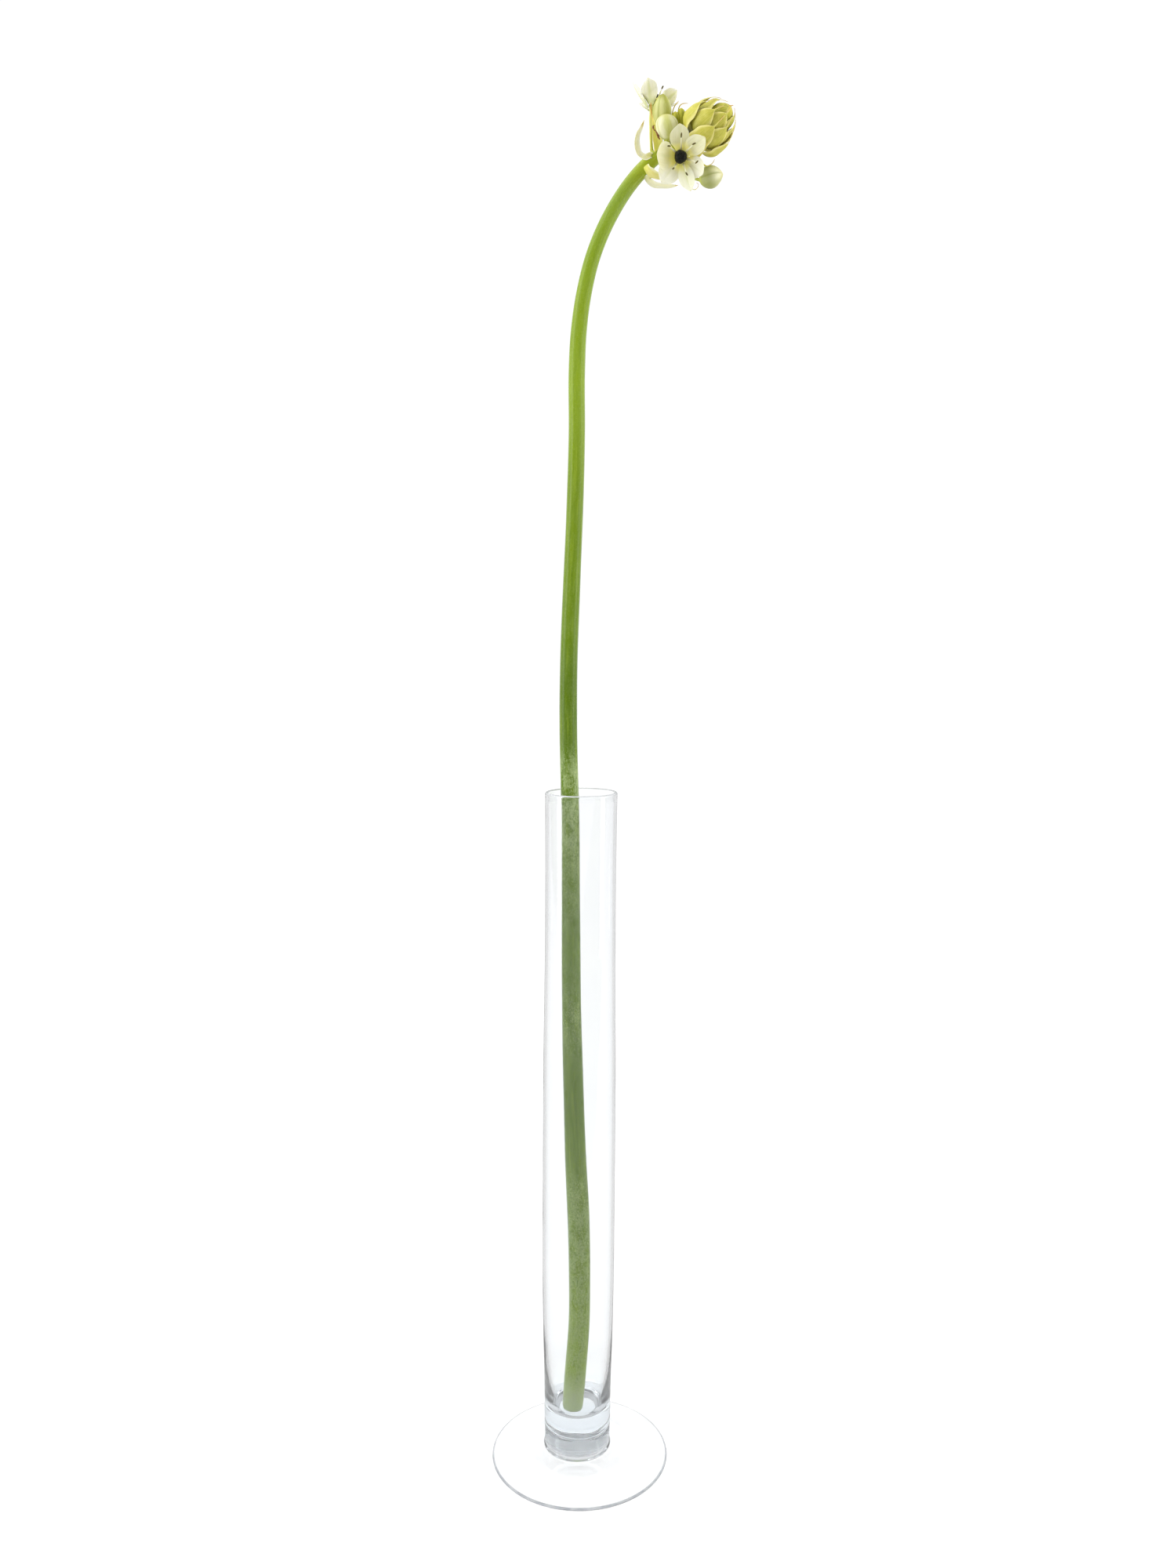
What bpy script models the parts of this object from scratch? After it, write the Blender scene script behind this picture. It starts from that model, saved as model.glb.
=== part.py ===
# Star of Bethlehem in a footed glass bud vase.
#
# Frame: metres, +Z up. The origin is the centre of the underside of the vase's foot.
# The stem leans to the back rim of the vase and nods over towards +X at the top.
# The head is modelled in a frame of its own, tilted forward with the nodding stem, and each open
# flower and the cone of buds has a frame of its own inside it.
# All lengths below are in millimetres until they are scaled by MM.

import bpy
import bmesh
import math
import numpy as np
from mathutils import Matrix, Vector

MM = 0.001

# ---------------------------------------------------------------- driving dimensions

VASE_HEIGHT = 350.0
VASE_SEGMENTS = 40
FOOT_RADIUS = 45.7
PLUG_RADIUS = 16.4            # outer radius of the solid plug under the tube
INNER_FLOOR_Z = 26.5
TUBE_AXIS_FOOT_X = -1.35      # the blown tube stands a little off the centre of its foot
TUBE_AXIS_LEAN = 2.45         # and leans this much over its whole height

SCAPE_CUT_RADIUS = 5.4        # radius at the cut end
SCAPE_NECK_RADIUS = 3.45      # radius just under the head

HEAD_ORIGIN = (48.2, 12.0, 657.4)
HEAD_NOD = 20.0               # degrees that the head tips forward
HEAD_TURN = -4.0              # degrees that it turns about the vertical

PETAL_THICKNESS = 0.5
BRACT_THICKNESS = 0.4
GAP = 0.3

COLLECTION = "star_of_bethlehem_in_vase"

# ---------------------------------------------------------------- empty scene

for old in list(bpy.data.objects):
    bpy.data.objects.remove(old, do_unlink=True)

parts = bpy.data.collections.new(COLLECTION)
bpy.context.scene.collection.children.link(parts)


def material(name, rgb, roughness, metallic=0.0, transmission=0.0, alpha=1.0):
    m = bpy.data.materials.new(name)
    m.use_nodes = True
    b = m.node_tree.nodes["Principled BSDF"]
    b.inputs["Base Color"].default_value = (*rgb, 1.0)
    b.inputs["Roughness"].default_value = roughness
    b.inputs["Metallic"].default_value = metallic
    b.inputs["Transmission Weight"].default_value = transmission
    b.inputs["Alpha"].default_value = alpha
    return m


GLASS = material("clear_glass", (0.93, 0.96, 0.97), 0.02, transmission=1.0)
STEM = material("stem_green", (0.16, 0.25, 0.03), 0.38)
PEDICEL = material("pedicel_green", (0.45, 0.52, 0.16), 0.45)
TEPAL = material("tepal_cream", (0.80, 0.79, 0.62), 0.5)
OVARY = material("ovary_black", (0.008, 0.008, 0.012), 0.18)
STAMEN = material("stamen", (0.42, 0.38, 0.16), 0.55)
BUD = material("bud_green_cream", (0.60, 0.63, 0.28), 0.45)
YOUNG = material("young_bud_green", (0.36, 0.40, 0.04), 0.45)
BRACT = material("bract_green", (0.50, 0.52, 0.12), 0.5)
DRY = material("bract_cream", (0.74, 0.68, 0.36), 0.6)
BROWN = material("bract_dried_brown", (0.35, 0.18, 0.06), 0.7)

# ---------------------------------------------------------------- curve through design points


def smooth_path(points, count):
    """Cubic through the points, spaced by arc length, sampled at count places."""
    p = np.asarray(points, dtype=float)
    d = np.linalg.norm(np.diff(p, axis=0), axis=1)
    u = np.concatenate([[0.0], np.cumsum(d)])
    m = np.zeros_like(p)
    m[1:-1] = ((p[2:] - p[1:-1]) / d[1:, None] * d[:-1, None]
               + (p[1:-1] - p[:-2]) / d[:-1, None] * d[1:, None]) / (d[:-1] + d[1:])[:, None]
    m[0] = 2 * (p[1] - p[0]) / d[0] - m[1]
    m[-1] = 2 * (p[-1] - p[-2]) / d[-1] - m[-2]
    out = []
    for s in np.linspace(0.0, u[-1], count):
        i = min(int(np.searchsorted(u, s, side="right")) - 1, len(p) - 2)
        h = u[i + 1] - u[i]
        t = (s - u[i]) / h
        out.append((2 * t**3 - 3 * t**2 + 1) * p[i] + (t**3 - 2 * t**2 + t) * h * m[i]
                   + (-2 * t**3 + 3 * t**2) * p[i + 1] + (t**3 - t**2) * h * m[i + 1])
    return np.array(out)


def profile_value(table, s):
    """Smooth value from a short table of (place, value) pairs."""
    xs, ys = zip(*table)
    for i in range(len(xs) - 1):
        if s <= xs[i + 1]:
            t = (s - xs[i]) / (xs[i + 1] - xs[i])
            t = t * t * (3 - 2 * t)
            return ys[i] + (ys[i + 1] - ys[i]) * t
    return ys[-1]


# ---------------------------------------------------------------- builders


def finish(obj, parent=None):
    if parent is not None:
        obj.parent = parent
    parts.objects.link(obj)
    return obj


def frame_empty(name, origin, x_axis, y_axis, z_axis, parent=None):
    e = bpy.data.objects.new(name, None)
    e.empty_display_size = 0.01
    rot = Matrix((x_axis, y_axis, z_axis)).transposed().to_4x4()
    local = Matrix.Translation(Vector(origin) * MM) @ rot
    e.parent = parent
    e.matrix_local = local
    bpy.context.scene.collection.objects.link(e)
    return e


def round_solid(name, points, radii, mat, parent=None, resolution=2):
    """A closed round-sectioned solid along a path, made from a curve with a bevel."""
    cu = bpy.data.curves.new(name + "_path", "CURVE")
    cu.dimensions = "3D"
    cu.bevel_depth = MM
    cu.bevel_resolution = resolution
    cu.use_fill_caps = True
    sp = cu.splines.new("POLY")
    sp.points.add(len(points) - 1)
    for pt, co, r in zip(sp.points, points, radii):
        pt.co = (co[0] * MM, co[1] * MM, co[2] * MM, 1.0)
        pt.radius = r
    tmp = bpy.data.objects.new(name + "_path", cu)
    bpy.context.scene.collection.objects.link(tmp)
    deps = bpy.context.evaluated_depsgraph_get()
    me = bpy.data.meshes.new_from_object(tmp.evaluated_get(deps))
    me.name = name
    bm = bmesh.new()
    bm.from_mesh(me)
    bmesh.ops.remove_doubles(bm, verts=bm.verts, dist=1e-6)
    bmesh.ops.recalc_face_normals(bm, faces=bm.faces)
    bm.to_mesh(me)
    bm.free()
    bpy.data.objects.remove(tmp, do_unlink=True)
    me.materials.clear()
    me.materials.append(mat)
    me.shade_smooth()
    me.set_sharp_from_angle(angle=math.radians(50))
    return finish(bpy.data.objects.new(name, me), parent)


def blade_mesh(name, place, mat, rows, cols, thickness):
    """A thin closed sheet: a grid laid out by place(s, t), then given its thickness."""
    bm = bmesh.new()
    bmesh.ops.create_grid(bm, x_segments=rows, y_segments=cols, size=0.5)
    for v in bm.verts:
        v.co = Vector(place(v.co.x + 0.5, v.co.y * 2.0)) * MM
    me = bpy.data.meshes.new(name)
    bm.to_mesh(me)
    bm.free()
    me.materials.append(mat)
    me.shade_smooth()
    obj = bpy.data.objects.new(name, me)
    sol = obj.modifiers.new("thickness", "SOLIDIFY")
    sol.thickness = thickness * MM
    sol.offset = 0.0
    sol.use_even_offset = False
    return obj


def leaf(name, spine, width, face, curl, mat, parent, rows=9, cols=4, thickness=BRACT_THICKNESS):
    """A bract along a spine. width is a table, face the way its hollow side looks, curl its roll."""
    path = smooth_path(spine, 41)
    face = np.asarray(face, dtype=float)

    def place(s, t):
        k = s * 40
        i = min(int(k), 39)
        c = path[i] + (path[i + 1] - path[i]) * (k - i)
        a = path[min(i + 2, 40)] - path[max(i - 1, 0)]
        a = a / np.linalg.norm(a)
        n = face - a * float(face @ a)
        n = n / np.linalg.norm(n)
        side = np.cross(a, n)
        half = profile_value(width, s) / 2
        ang = curl * t
        return c + side * (half * math.sin(ang) / curl) + n * (half * (1 - math.cos(ang)) / curl)

    obj = blade_mesh(name, place, mat, rows, cols, thickness)
    return finish(obj, parent)


# ---------------------------------------------------------------- vase


def tube_shift(z):
    """How far the blown tube's axis stands off the foot's centre at height z."""
    t = min(max((z - 1.6) / 6.0, 0.0), 1.0)
    return TUBE_AXIS_FOOT_X * t * t * (3 - 2 * t) + TUBE_AXIS_LEAN * z / VASE_HEIGHT


def vase():
    inner = [(0.0, INNER_FLOOR_Z), (6.0, 26.6), (9.6, 26.9), (11.6, 27.9), (12.9, 30.0),
             (13.8, 34.0), (14.7, 41.0), (15.6, 52.0), (16.5, 70.0), (17.05, 110.0),
             (17.0, 200.0), (16.2, 290.0), (16.35, VASE_HEIGHT - 0.7)]
    rim = [(16.75, VASE_HEIGHT - 0.1), (17.45, VASE_HEIGHT), (17.9, VASE_HEIGHT - 0.6)]
    outer = [(17.65, 290.0), (18.45, 200.0), (18.55, 110.0), (18.05, 68.0), (17.4, 42.0),
             (17.2, 22.0), (PLUG_RADIUS + 0.1, 10.5), (PLUG_RADIUS, 8.6)]
    foot = [(20.5, 6.2), (27.0, 4.2), (36.0, 2.7), (44.6, 1.7), (FOOT_RADIUS - 0.15, 1.3),
            (FOOT_RADIUS, 0.75), (FOOT_RADIUS - 0.5, 0.0), (22.0, 0.0), (0.0, 0.0)]
    profile = inner + rim + outer + foot
    me = bpy.data.meshes.new("vase_profile")
    me.from_pydata([(r * MM, 0.0, z * MM) for r, z in profile],
                   [(i, i + 1) for i in range(len(profile) - 1)], [])
    tmp = bpy.data.objects.new("vase_profile", me)
    bpy.context.scene.collection.objects.link(tmp)
    screw = tmp.modifiers.new("turn", "SCREW")
    screw.axis = "Z"
    screw.angle = math.tau
    screw.steps = VASE_SEGMENTS
    screw.render_steps = VASE_SEGMENTS
    screw.use_merge_vertices = True
    screw.merge_threshold = 0.00001
    deps = bpy.context.evaluated_depsgraph_get()
    body = bpy.data.meshes.new_from_object(tmp.evaluated_get(deps))
    body.name = "vase"
    bpy.data.objects.remove(tmp, do_unlink=True)
    for v in body.vertices:
        v.co.x += tube_shift(v.co.z / MM) * MM
    body.materials.clear()
    body.materials.append(GLASS)
    body.shade_smooth()
    body.set_sharp_from_angle(angle=math.radians(40))
    finish(bpy.data.objects.new("vase", body))


vase()

# ---------------------------------------------------------------- frame of the head

nod, turn = math.radians(HEAD_NOD), math.radians(HEAD_TURN)
N_AXIS = Vector((math.sin(turn) * math.cos(nod), -math.cos(turn) * math.cos(nod), -math.sin(nod)))
R_AXIS = Vector((0, 0, 1)).cross(N_AXIS).normalized()
U_AXIS = N_AXIS.cross(R_AXIS)
HEAD = frame_empty("head_frame", HEAD_ORIGIN, R_AXIS, U_AXIS, N_AXIS)


def head_to_world(r, u, n):
    return np.array(Vector(HEAD_ORIGIN) + R_AXIS * r + U_AXIS * u + N_AXIS * n)


# ---------------------------------------------------------------- scape and rachis

SCAPE = [(-3.7, -3.4, 27.4), (-2.0, -2.7, 48), (-0.1, -1.6, 75), (0.1, -0.9, 96),
         (-0.4, 0.3, 128), (-1.9, 2.0, 160), (-3.1, 3.4, 199), (-4.0, 5.2, 240),
         (-4.35, 7.0, 290), (-4.6, 9.5, 340), (-5.4, 10.7, 378), (-5.2, 12.0, 411),
         (-3.75, 13.2, 450), (-2.1, 14.1, 488), (-1.05, 14.8, 526), (-1.0, 15.0, 555),
         (-0.15, 14.9, 572), (2.35, 14.6, 590), (7.0, 14.1, 608), (14.6, 13.4, 625)]
RACHIS = [(-15.6, -8.0, 0.0), (-12.6, -5.6, 0.0), (-8.6, -3.6, -0.3), (-4.0, -1.8, -0.4),
          (1.0, 0.2, -0.1), (6.4, 2.4, 0.8), (10.0, 5.1, 1.6), (13.6, 7.8, 2.4)]


def scape():
    pts = [np.array(p, dtype=float) for p in SCAPE] + [head_to_world(*p) for p in RACHIS]
    path = smooth_path(pts, 66)
    length = np.concatenate([[0], np.cumsum(np.linalg.norm(np.diff(path, axis=0), axis=1))])
    table = [(0.0, SCAPE_CUT_RADIUS), (60.0, 5.35), (105.0, 5.6), (130.0, 5.35), (165.0, 5.15),
             (215.0, 4.85), (265.0, 4.65), (310.0, 4.5), (345.0, 4.4), (400.0, 4.25),
             (450.0, 4.1), (490.0, 4.0), (530.0, 3.9), (560.0, 3.7), (580.0, 3.55),
             (length[-1] - 38, SCAPE_NECK_RADIUS),
             (length[-1] - 30, 3.2), (length[-1] - 22, 2.6), (length[-1] - 10, 2.2),
             (length[-1], 1.1)]
    radii = [profile_value(table, s) for s in length]
    round_solid("scape", path, radii, STEM, resolution=3)


scape()

# ---------------------------------------------------------------- open flowers


def flower_frame(name, base, axis, up, parent=HEAD):
    """Frame at a flower's base: +Z the way it faces, +X as near to `up` turned right as can be."""
    z = Vector(axis).normalized()
    y = (Vector(up) - z * Vector(up).dot(z)).normalized()
    x = y.cross(z)
    return frame_empty(name, base, x, y, z, parent)


def tepal(name, parent, azimuth, length, width, cup, lift, tip_bend, sweep=0.0):
    """One tepal, running out from the flower's axis and rising by its cup angle."""
    start = 2.5
    c0, c1 = math.radians(cup), math.radians(tip_bend)
    outline = [(0.0, 0.42 * width), (0.45, width), (0.72, 0.86 * width), (0.92, 0.42 * width),
               (1.0, 0.10 * width)]
    steps = 40
    rho, h = [start], [lift]
    for i in range(steps):
        a = c0 + (c1 - c0) * max(0.0, (i + 0.5) / steps - 0.35) / 0.65
        rho.append(rho[-1] + math.cos(a) * length / steps)
        h.append(h[-1] + math.sin(a) * length / steps)

    def place(s, t):
        k = min(int(s * steps), steps - 1)
        f = s * steps - k
        x = rho[k] + (rho[k + 1] - rho[k]) * f
        z = h[k] + (h[k + 1] - h[k]) * f
        half = profile_value(outline, s) / 2
        return (x, half * t + sweep * s * s, z + 0.11 * half * t * t)

    obj = blade_mesh(name, place, TEPAL, 9, 4, PETAL_THICKNESS)
    obj.rotation_euler = (0, 0, math.radians(azimuth))
    finish(obj, parent)


def ovary(name, parent, radius, height):
    me = bpy.data.meshes.new(name)
    bm = bmesh.new()
    bmesh.ops.create_uvsphere(bm, u_segments=12, v_segments=7, radius=radius * MM)
    for v in bm.verts:
        a = math.atan2(v.co.y, v.co.x)
        lobe = 1.0 + 0.05 * math.cos(3 * a) * math.hypot(v.co.x, v.co.y) / (radius * MM)
        v.co.x *= lobe
        v.co.y *= lobe
    bm.to_mesh(me)
    bm.free()
    me.materials.append(OVARY)
    me.shade_smooth()
    obj = bpy.data.objects.new(name, me)
    obj.location = (0, 0, height * MM)
    finish(obj, parent)


def stamen(name, parent, azimuth, reach, rise, low=2.15):
    """A tapering filament that stands out from beside the ovary and ends in its anther."""
    start = 3.7
    pts = [(start, 0, low), (start + 0.36 * (reach - start), 0, low + 0.38 * rise),
           (start + 0.70 * (reach - start), 0, low + 0.76 * rise),
           (start + 0.79 * (reach - start), 0, low + 0.85 * rise),
           (reach + 0.4, 0, low + rise), (reach + 0.9, 0, low + 1.08 * rise)]
    radii = [0.55, 0.4, 0.28, 0.5, 0.5, 0.2]
    obj = round_solid(name, pts, radii, STAMEN, parent, resolution=1)
    obj.rotation_euler = (0, 0, math.radians(azimuth))


def stamen_ring(name, parent, specs):
    """Six filaments grown together at their bases, as one piece round the ovary."""
    bpy.ops.mesh.primitive_torus_add(major_segments=18, minor_segments=5,
                                     major_radius=3.8 * MM, minor_radius=0.4 * MM,
                                     location=(0, 0, 3.1 * MM))
    base = bpy.context.active_object
    me = base.data
    me.transform(Matrix.Translation((0, 0, 3.1 * MM)))
    me.name = name
    bpy.data.objects.remove(base, do_unlink=True)
    body = bpy.data.objects.new(name, me)
    bpy.context.scene.collection.objects.link(body)
    for i, spec in enumerate(specs):
        stamen("%s_%d" % (name, i), None, *spec, low=3.1)
        arm = parts.objects["%s_%d" % (name, i)]
        arm.data.transform(Matrix.Rotation(arm.rotation_euler.z, 4, "Z"))
        arm.rotation_euler = (0, 0, 0)
        join = body.modifiers.new("join", "BOOLEAN")
        join.operation = "UNION"
        join.solver = "EXACT"
        join.object = arm
        deps = bpy.context.evaluated_depsgraph_get()
        joined = bpy.data.meshes.new_from_object(body.evaluated_get(deps))
        body.modifiers.remove(join)
        body.data = joined
        bpy.data.objects.remove(arm, do_unlink=True)
    body.data.name = name
    body.data.materials.clear()
    body.data.materials.append(STAMEN)
    bpy.context.scene.collection.objects.unlink(body)
    finish(body, parent)


FRONT = flower_frame("front_flower_frame", (0.2, -4.9, 11.0), (-0.02, 0.02, 1.0), (0, 1, 0))
#                     azimuth  length width  cup  lift   tip  sweep
for i, spec in enumerate([(97.0, 12.1, 9.2, 22.0, -0.45, 24.0, 0.4),
                          (36.0, 12.6, 8.6, 30.0, 0.45, 22.0, 0.0),
                          (-33.0, 11.8, 9.4, 25.0, -0.45, 32.0, 0.0),
                          (-73.0, 14.8, 8.0, 30.0, 0.45, 24.0, 0.0),
                          (-130.0, 12.6, 10.0, 25.0, -0.45, 28.0, 0.0),
                          (177.0, 11.4, 12.0, 34.0, 0.45, 58.0, -0.6)]):
    tepal("front_flower_tepal_%d" % (i + 1), FRONT, *spec)
ovary("front_flower_ovary", FRONT, 3.0, 3.35)
for i, spec in enumerate([(140.0, 7.2, 3.4), (88.0, 9.4, 4.8, 1.25), (42.0, 8.4, 4.2),
                          (-18.0, 8.3, 4.8, 1.25), (-70.0, 8.2, 4.0), (-126.0, 6.2, 4.2, 1.45)]):
    stamen("front_flower_stamen_%d" % (i + 1), FRONT, *spec)
round_solid("front_flower_pedicel",
            smooth_path([(-3.3, -3.8, 1.9), (-2.8, -4.6, 4.6), (-1.0, -4.9, 8.0),
                         (0.2, -4.9, 11.0)], 9),
            [0.9, 0.85, 0.8, 0.8, 0.8, 0.82, 0.9, 1.25, 2.1], PEDICEL, HEAD)

BACK = flower_frame("back_flower_frame", (-13.3, 16.2, -10.5), (0.26, 0.92, -0.28), (0, 0, 1))
#                     azimuth  length width  cup  lift   tip  sweep
for i, spec in enumerate([(59.0, 11.3, 8.4, 49.0, 0.5, 48.0, 0.0),
                          (155.0, 11.2, 9.0, 47.0, 0.45, 50.0, 0.0),
                          (2.0, 12.4, 8.6, 38.0, -0.5, 44.0, 0.0),
                          (-68.0, 12.2, 7.8, 22.0, -1.1, 36.0, 0.0),
                          (-110.0, 12.4, 7.8, 46.0, 0.45, 44.0, 0.0),
                          (-158.0, 12.2, 7.8, 34.0, -0.6, 38.0, 0.0)]):
    tepal("back_flower_tepal_%d" % (i + 1), BACK, *spec)
ovary("back_flower_ovary", BACK, 2.8, 3.7)
stamen_ring("back_flower_stamens", BACK,
            [(112.0, 6.0, 5.2), (32.0, 6.8, 5.4), (-20.0, 7.2, 5.0),
             (-76.0, 7.2, 4.8), (-124.0, 6.8, 5.0), (-168.0, 5.6, 4.6)])
round_solid("back_flower_pedicel",
            smooth_path([(-13.5, -2.4, -1.0), (-13.9, 2.0, -1.4), (-14.1, 8.0, -2.6),
                         (-14.2, 12.0, -6.0), (-13.8, 14.4, -9.2), (-13.18, 16.6, -10.63)], 12),
            [0.85, 0.75, 0.7, 0.7, 0.7, 0.7, 0.7, 0.7, 0.72, 0.8, 1.25, 2.1], PEDICEL, HEAD)

# ---------------------------------------------------------------- buds on their pedicels


def bud(name, stalk, base, tip, radius, mat, stalk_radius=0.7, fullness=0.5, blunt=0.35):
    """A pedicel that swells into a closed bud: the stalk's points, then base to tip."""
    stalk_path = smooth_path(list(stalk) + [base], 6)
    base, tip = np.array(base, dtype=float), np.array(tip, dtype=float)
    pts = [tuple(p) for p in stalk_path]
    radii = [stalk_radius] * 5 + [stalk_radius * 1.25]
    n = 9
    for i in range(1, n + 1):
        s = i / n
        pts.append(tuple(base + (tip - base) * s))
        if s <= fullness:
            q = 1 - ((fullness - s) / fullness) ** 2
        else:
            q = max(1 - ((s - fullness) / (1 - fullness)) ** 2, 0.0) ** (0.5 + blunt)
        radii.append(max(radius * math.sqrt(q) if s <= fullness else radius * q, 0.22))
    round_solid(name, pts, radii, mat, HEAD, resolution=2)


bud("tall_striped_bud", [(-9.45, -1.15, -1.9), (-9.7, 2.6, -3.6)], (-9.1, 6.0, -3.8),
    (-8.4, 21.6, -2.2), 4.4, BUD, 0.8, 0.52, 0.3)
bud("round_cream_bud", [(-7.6, -0.95, 1.95), (-7.5, 0.7, 3.3)], (-6.7, 2.2, 4.4),
    (-6.3, 13.1, 5.4), 5.2, BUD, 0.8, 0.6, 0.0)
bud("lower_right_bud", [(3.2, -2.1, 0.4), (3.4, -8.4, 2.2), (5.8, -13.6, 4.0)], (9.0, -14.9, 4.4),
    (20.3, -12.7, 4.4), 5.1, BUD, 0.65, 0.48, 0.25)
bud("young_bud_left", [(-2.75, 1.75, -1.05), (-3.1, 3.9, -2.0)], (-3.2, 5.8, -2.2),
    (-3.0, 14.2, -1.2), 1.8, YOUNG, 0.5, 0.6, 0.1)
bud("young_bud_right", [(0.75, 2.6, -1.6), (0.6, 5.2, -3.0)], (0.5, 7.6, -3.6),
    (0.0, 15.6, -3.0), 1.8, YOUNG, 0.5, 0.6, 0.1)
bud("hidden_bud_upper", [(-6.0, -1.6, -3.4), (-6.2, -0.2, -6.4)], (-5.4, 1.6, -9.0),
    (-3.2, 9.0, -14.0), 3.7, BUD, 0.7, 0.52, 0.1)
bud("hidden_bud_lower", [(-1.6, -3.2, -2.6), (-1.6, -5.4, -5.4)], (-0.6, -7.4, -7.6),
    (4.0, -12.4, -13.6), 3.6, BUD, 0.7, 0.52, 0.1)

# ---------------------------------------------------------------- lower bracts

OVATE = [(0.0, 0.55), (0.30, 1.0), (0.62, 0.72), (0.84, 0.26), (1.0, 0.09)]


def scaled(table, width):
    return [(s, max(w * width, 0.4)) for s, w in table]


leaf("curled_cream_bract",
     [(-14.3, -4.0, 3.1), (-16.7, -4.7, 4.1), (-19.4, -3.4, 4.0), (-20.7, 0.6, 3.7),
      (-20.2, 4.8, 3.4), (-18.5, 7.8, 3.0), (-17.1, 10.8, 2.5)],
     [(0.0, 1.8), (0.3, 2.8), (0.55, 2.9), (0.8, 1.8), (1.0, 0.5)], (0.55, 0.25, 0.85), 0.9,
     DRY, HEAD, rows=12)
leaf("brown_tipped_bract",
     [(-10.9, -1.4, 1.5), (-10.9, 2.0, 1.2), (-11.9, 6.4, 1.0), (-13.1, 10.6, 0.8),
      (-13.9, 15.1, 0.3), (-14.0, 18.2, 0.0)],
     [(0.0, 3.2), (0.22, 5.2), (0.48, 3.0), (0.68, 1.0), (1.0, 0.5)], (0.30, 0.0, 0.95), 0.7,
     DRY, HEAD, rows=12)
round_solid("dried_curl",
            smooth_path([(-12.5, 7.9, 1.9), (-12.5, 6.7, 3.6), (-11.6, 5.5, 5.6),
                         (-10.7, 4.0, 6.7), (-9.7, 2.7, 7.2)], 8),
            [0.22, 0.36, 0.38, 0.36, 0.42, 0.48, 0.45, 0.25], BROWN, HEAD)
leaf("upper_boat_bract",
     [(-16.7, -8.6, 6.3), (-15.5, -10.8, 7.1), (-12.7, -12.8, 7.1), (-9.0, -13.7, 6.6),
      (-5.6, -13.6, 6.2)],
     [(0.0, 4.6), (0.35, 6.4), (0.7, 4.4), (1.0, 0.7)], (0.35, 0.75, -0.75), 0.8, DRY, HEAD)
leaf("lower_boat_bract",
     [(-12.8, -11.9, 2.6), (-15.4, -14.3, 2.6), (-14.0, -16.3, 2.2), (-8.0, -17.7, 2.0),
      (-1.0, -17.1, 2.0)],
     [(0.0, 2.2), (0.35, 3.8), (0.7, 3.4), (1.0, 0.6)], (0.1, 0.9, 0.35), 0.9, DRY, HEAD, rows=11)
leaf("awned_bract_left",
     [(-4.4, 0.5, -2.4), (-4.3, 3.2, -4.8), (-3.9, 6.6, -6.6), (-4.2, 11.0, -7.0), (-3.3, 15.6, -5.6),
      (-0.9, 18.6, -4.2)],
     [(0.0, 1.8), (0.35, 3.0), (0.62, 0.8), (1.0, 0.4)], (0.0, 0.3, 1.0), 0.6, BRACT, HEAD, rows=11)
leaf("awned_bract_right",
     [(0.9, 0.75, -2.6), (0.8, 2.8, -5.4), (0.1, 5.8, -7.3), (-0.6, 8.8, -7.9),
      (-1.2, 12.6, -7.6), (-0.2, 16.8, -6.4), (3.5, 17.4, -5.2)],
     [(0.0, 1.8), (0.35, 3.0), (0.62, 0.8), (1.0, 0.4)], (0.0, 0.3, 1.0), 0.6, BRACT, HEAD, rows=11)
leaf("lower_right_bract",
     [(4.8, -3.3, 0.9), (6.6, -5.6, 3.4), (8.6, -7.1, 5.4), (10.4, -8.3, 6.6), (12.4, -9.1, 7.0),
      (14.4, -8.5, 7.0), (16.1, -6.3, 7.2)],
     [(0.0, 1.8), (0.3, 3.4), (0.6, 1.4), (0.75, 0.45), (1.0, 0.4)], (0.3, -0.2, -1.0), 0.6,
     BRACT, HEAD, rows=12)
leaf("lower_right_small_bract",
     [(5.65, -14.55, 3.25), (5.6, -16.6, 2.7), (5.7, -18.7, 2.6), (6.9, -19.2, 2.8), (8.4, -18.2, 3.0),
      (8.7, -16.9, 3.1), (7.6, -16.3, 3.2)],
     [(0.0, 0.8), (0.22, 1.5), (0.4, 0.5), (1.0, 0.4)], (0.9, 0.2, 0.4), 0.6, BRACT, HEAD, rows=14,
     cols=2)

# ---------------------------------------------------------------- cone of unopened buds

CONE_BASE = (6.4, 2.4, 0.8)
CONE_AXIS = Vector((0.79, 0.59, 0.17)).normalized()
cone_x = (Vector((0, 0, 1)) - CONE_AXIS * CONE_AXIS.z).normalized()
CONE = frame_empty("cone_frame", CONE_BASE, cone_x, CONE_AXIS.cross(cone_x), CONE_AXIS, HEAD)

DOME = [(-2.0, 9.2), (1.0, 11.2), (4.0, 12.1), (8.0, 12.0), (12.0, 11.0), (16.0, 9.2),
        (18.5, 7.4), (20.5, 5.2), (22.0, 2.8), (23.0, 1.3)]


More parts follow.
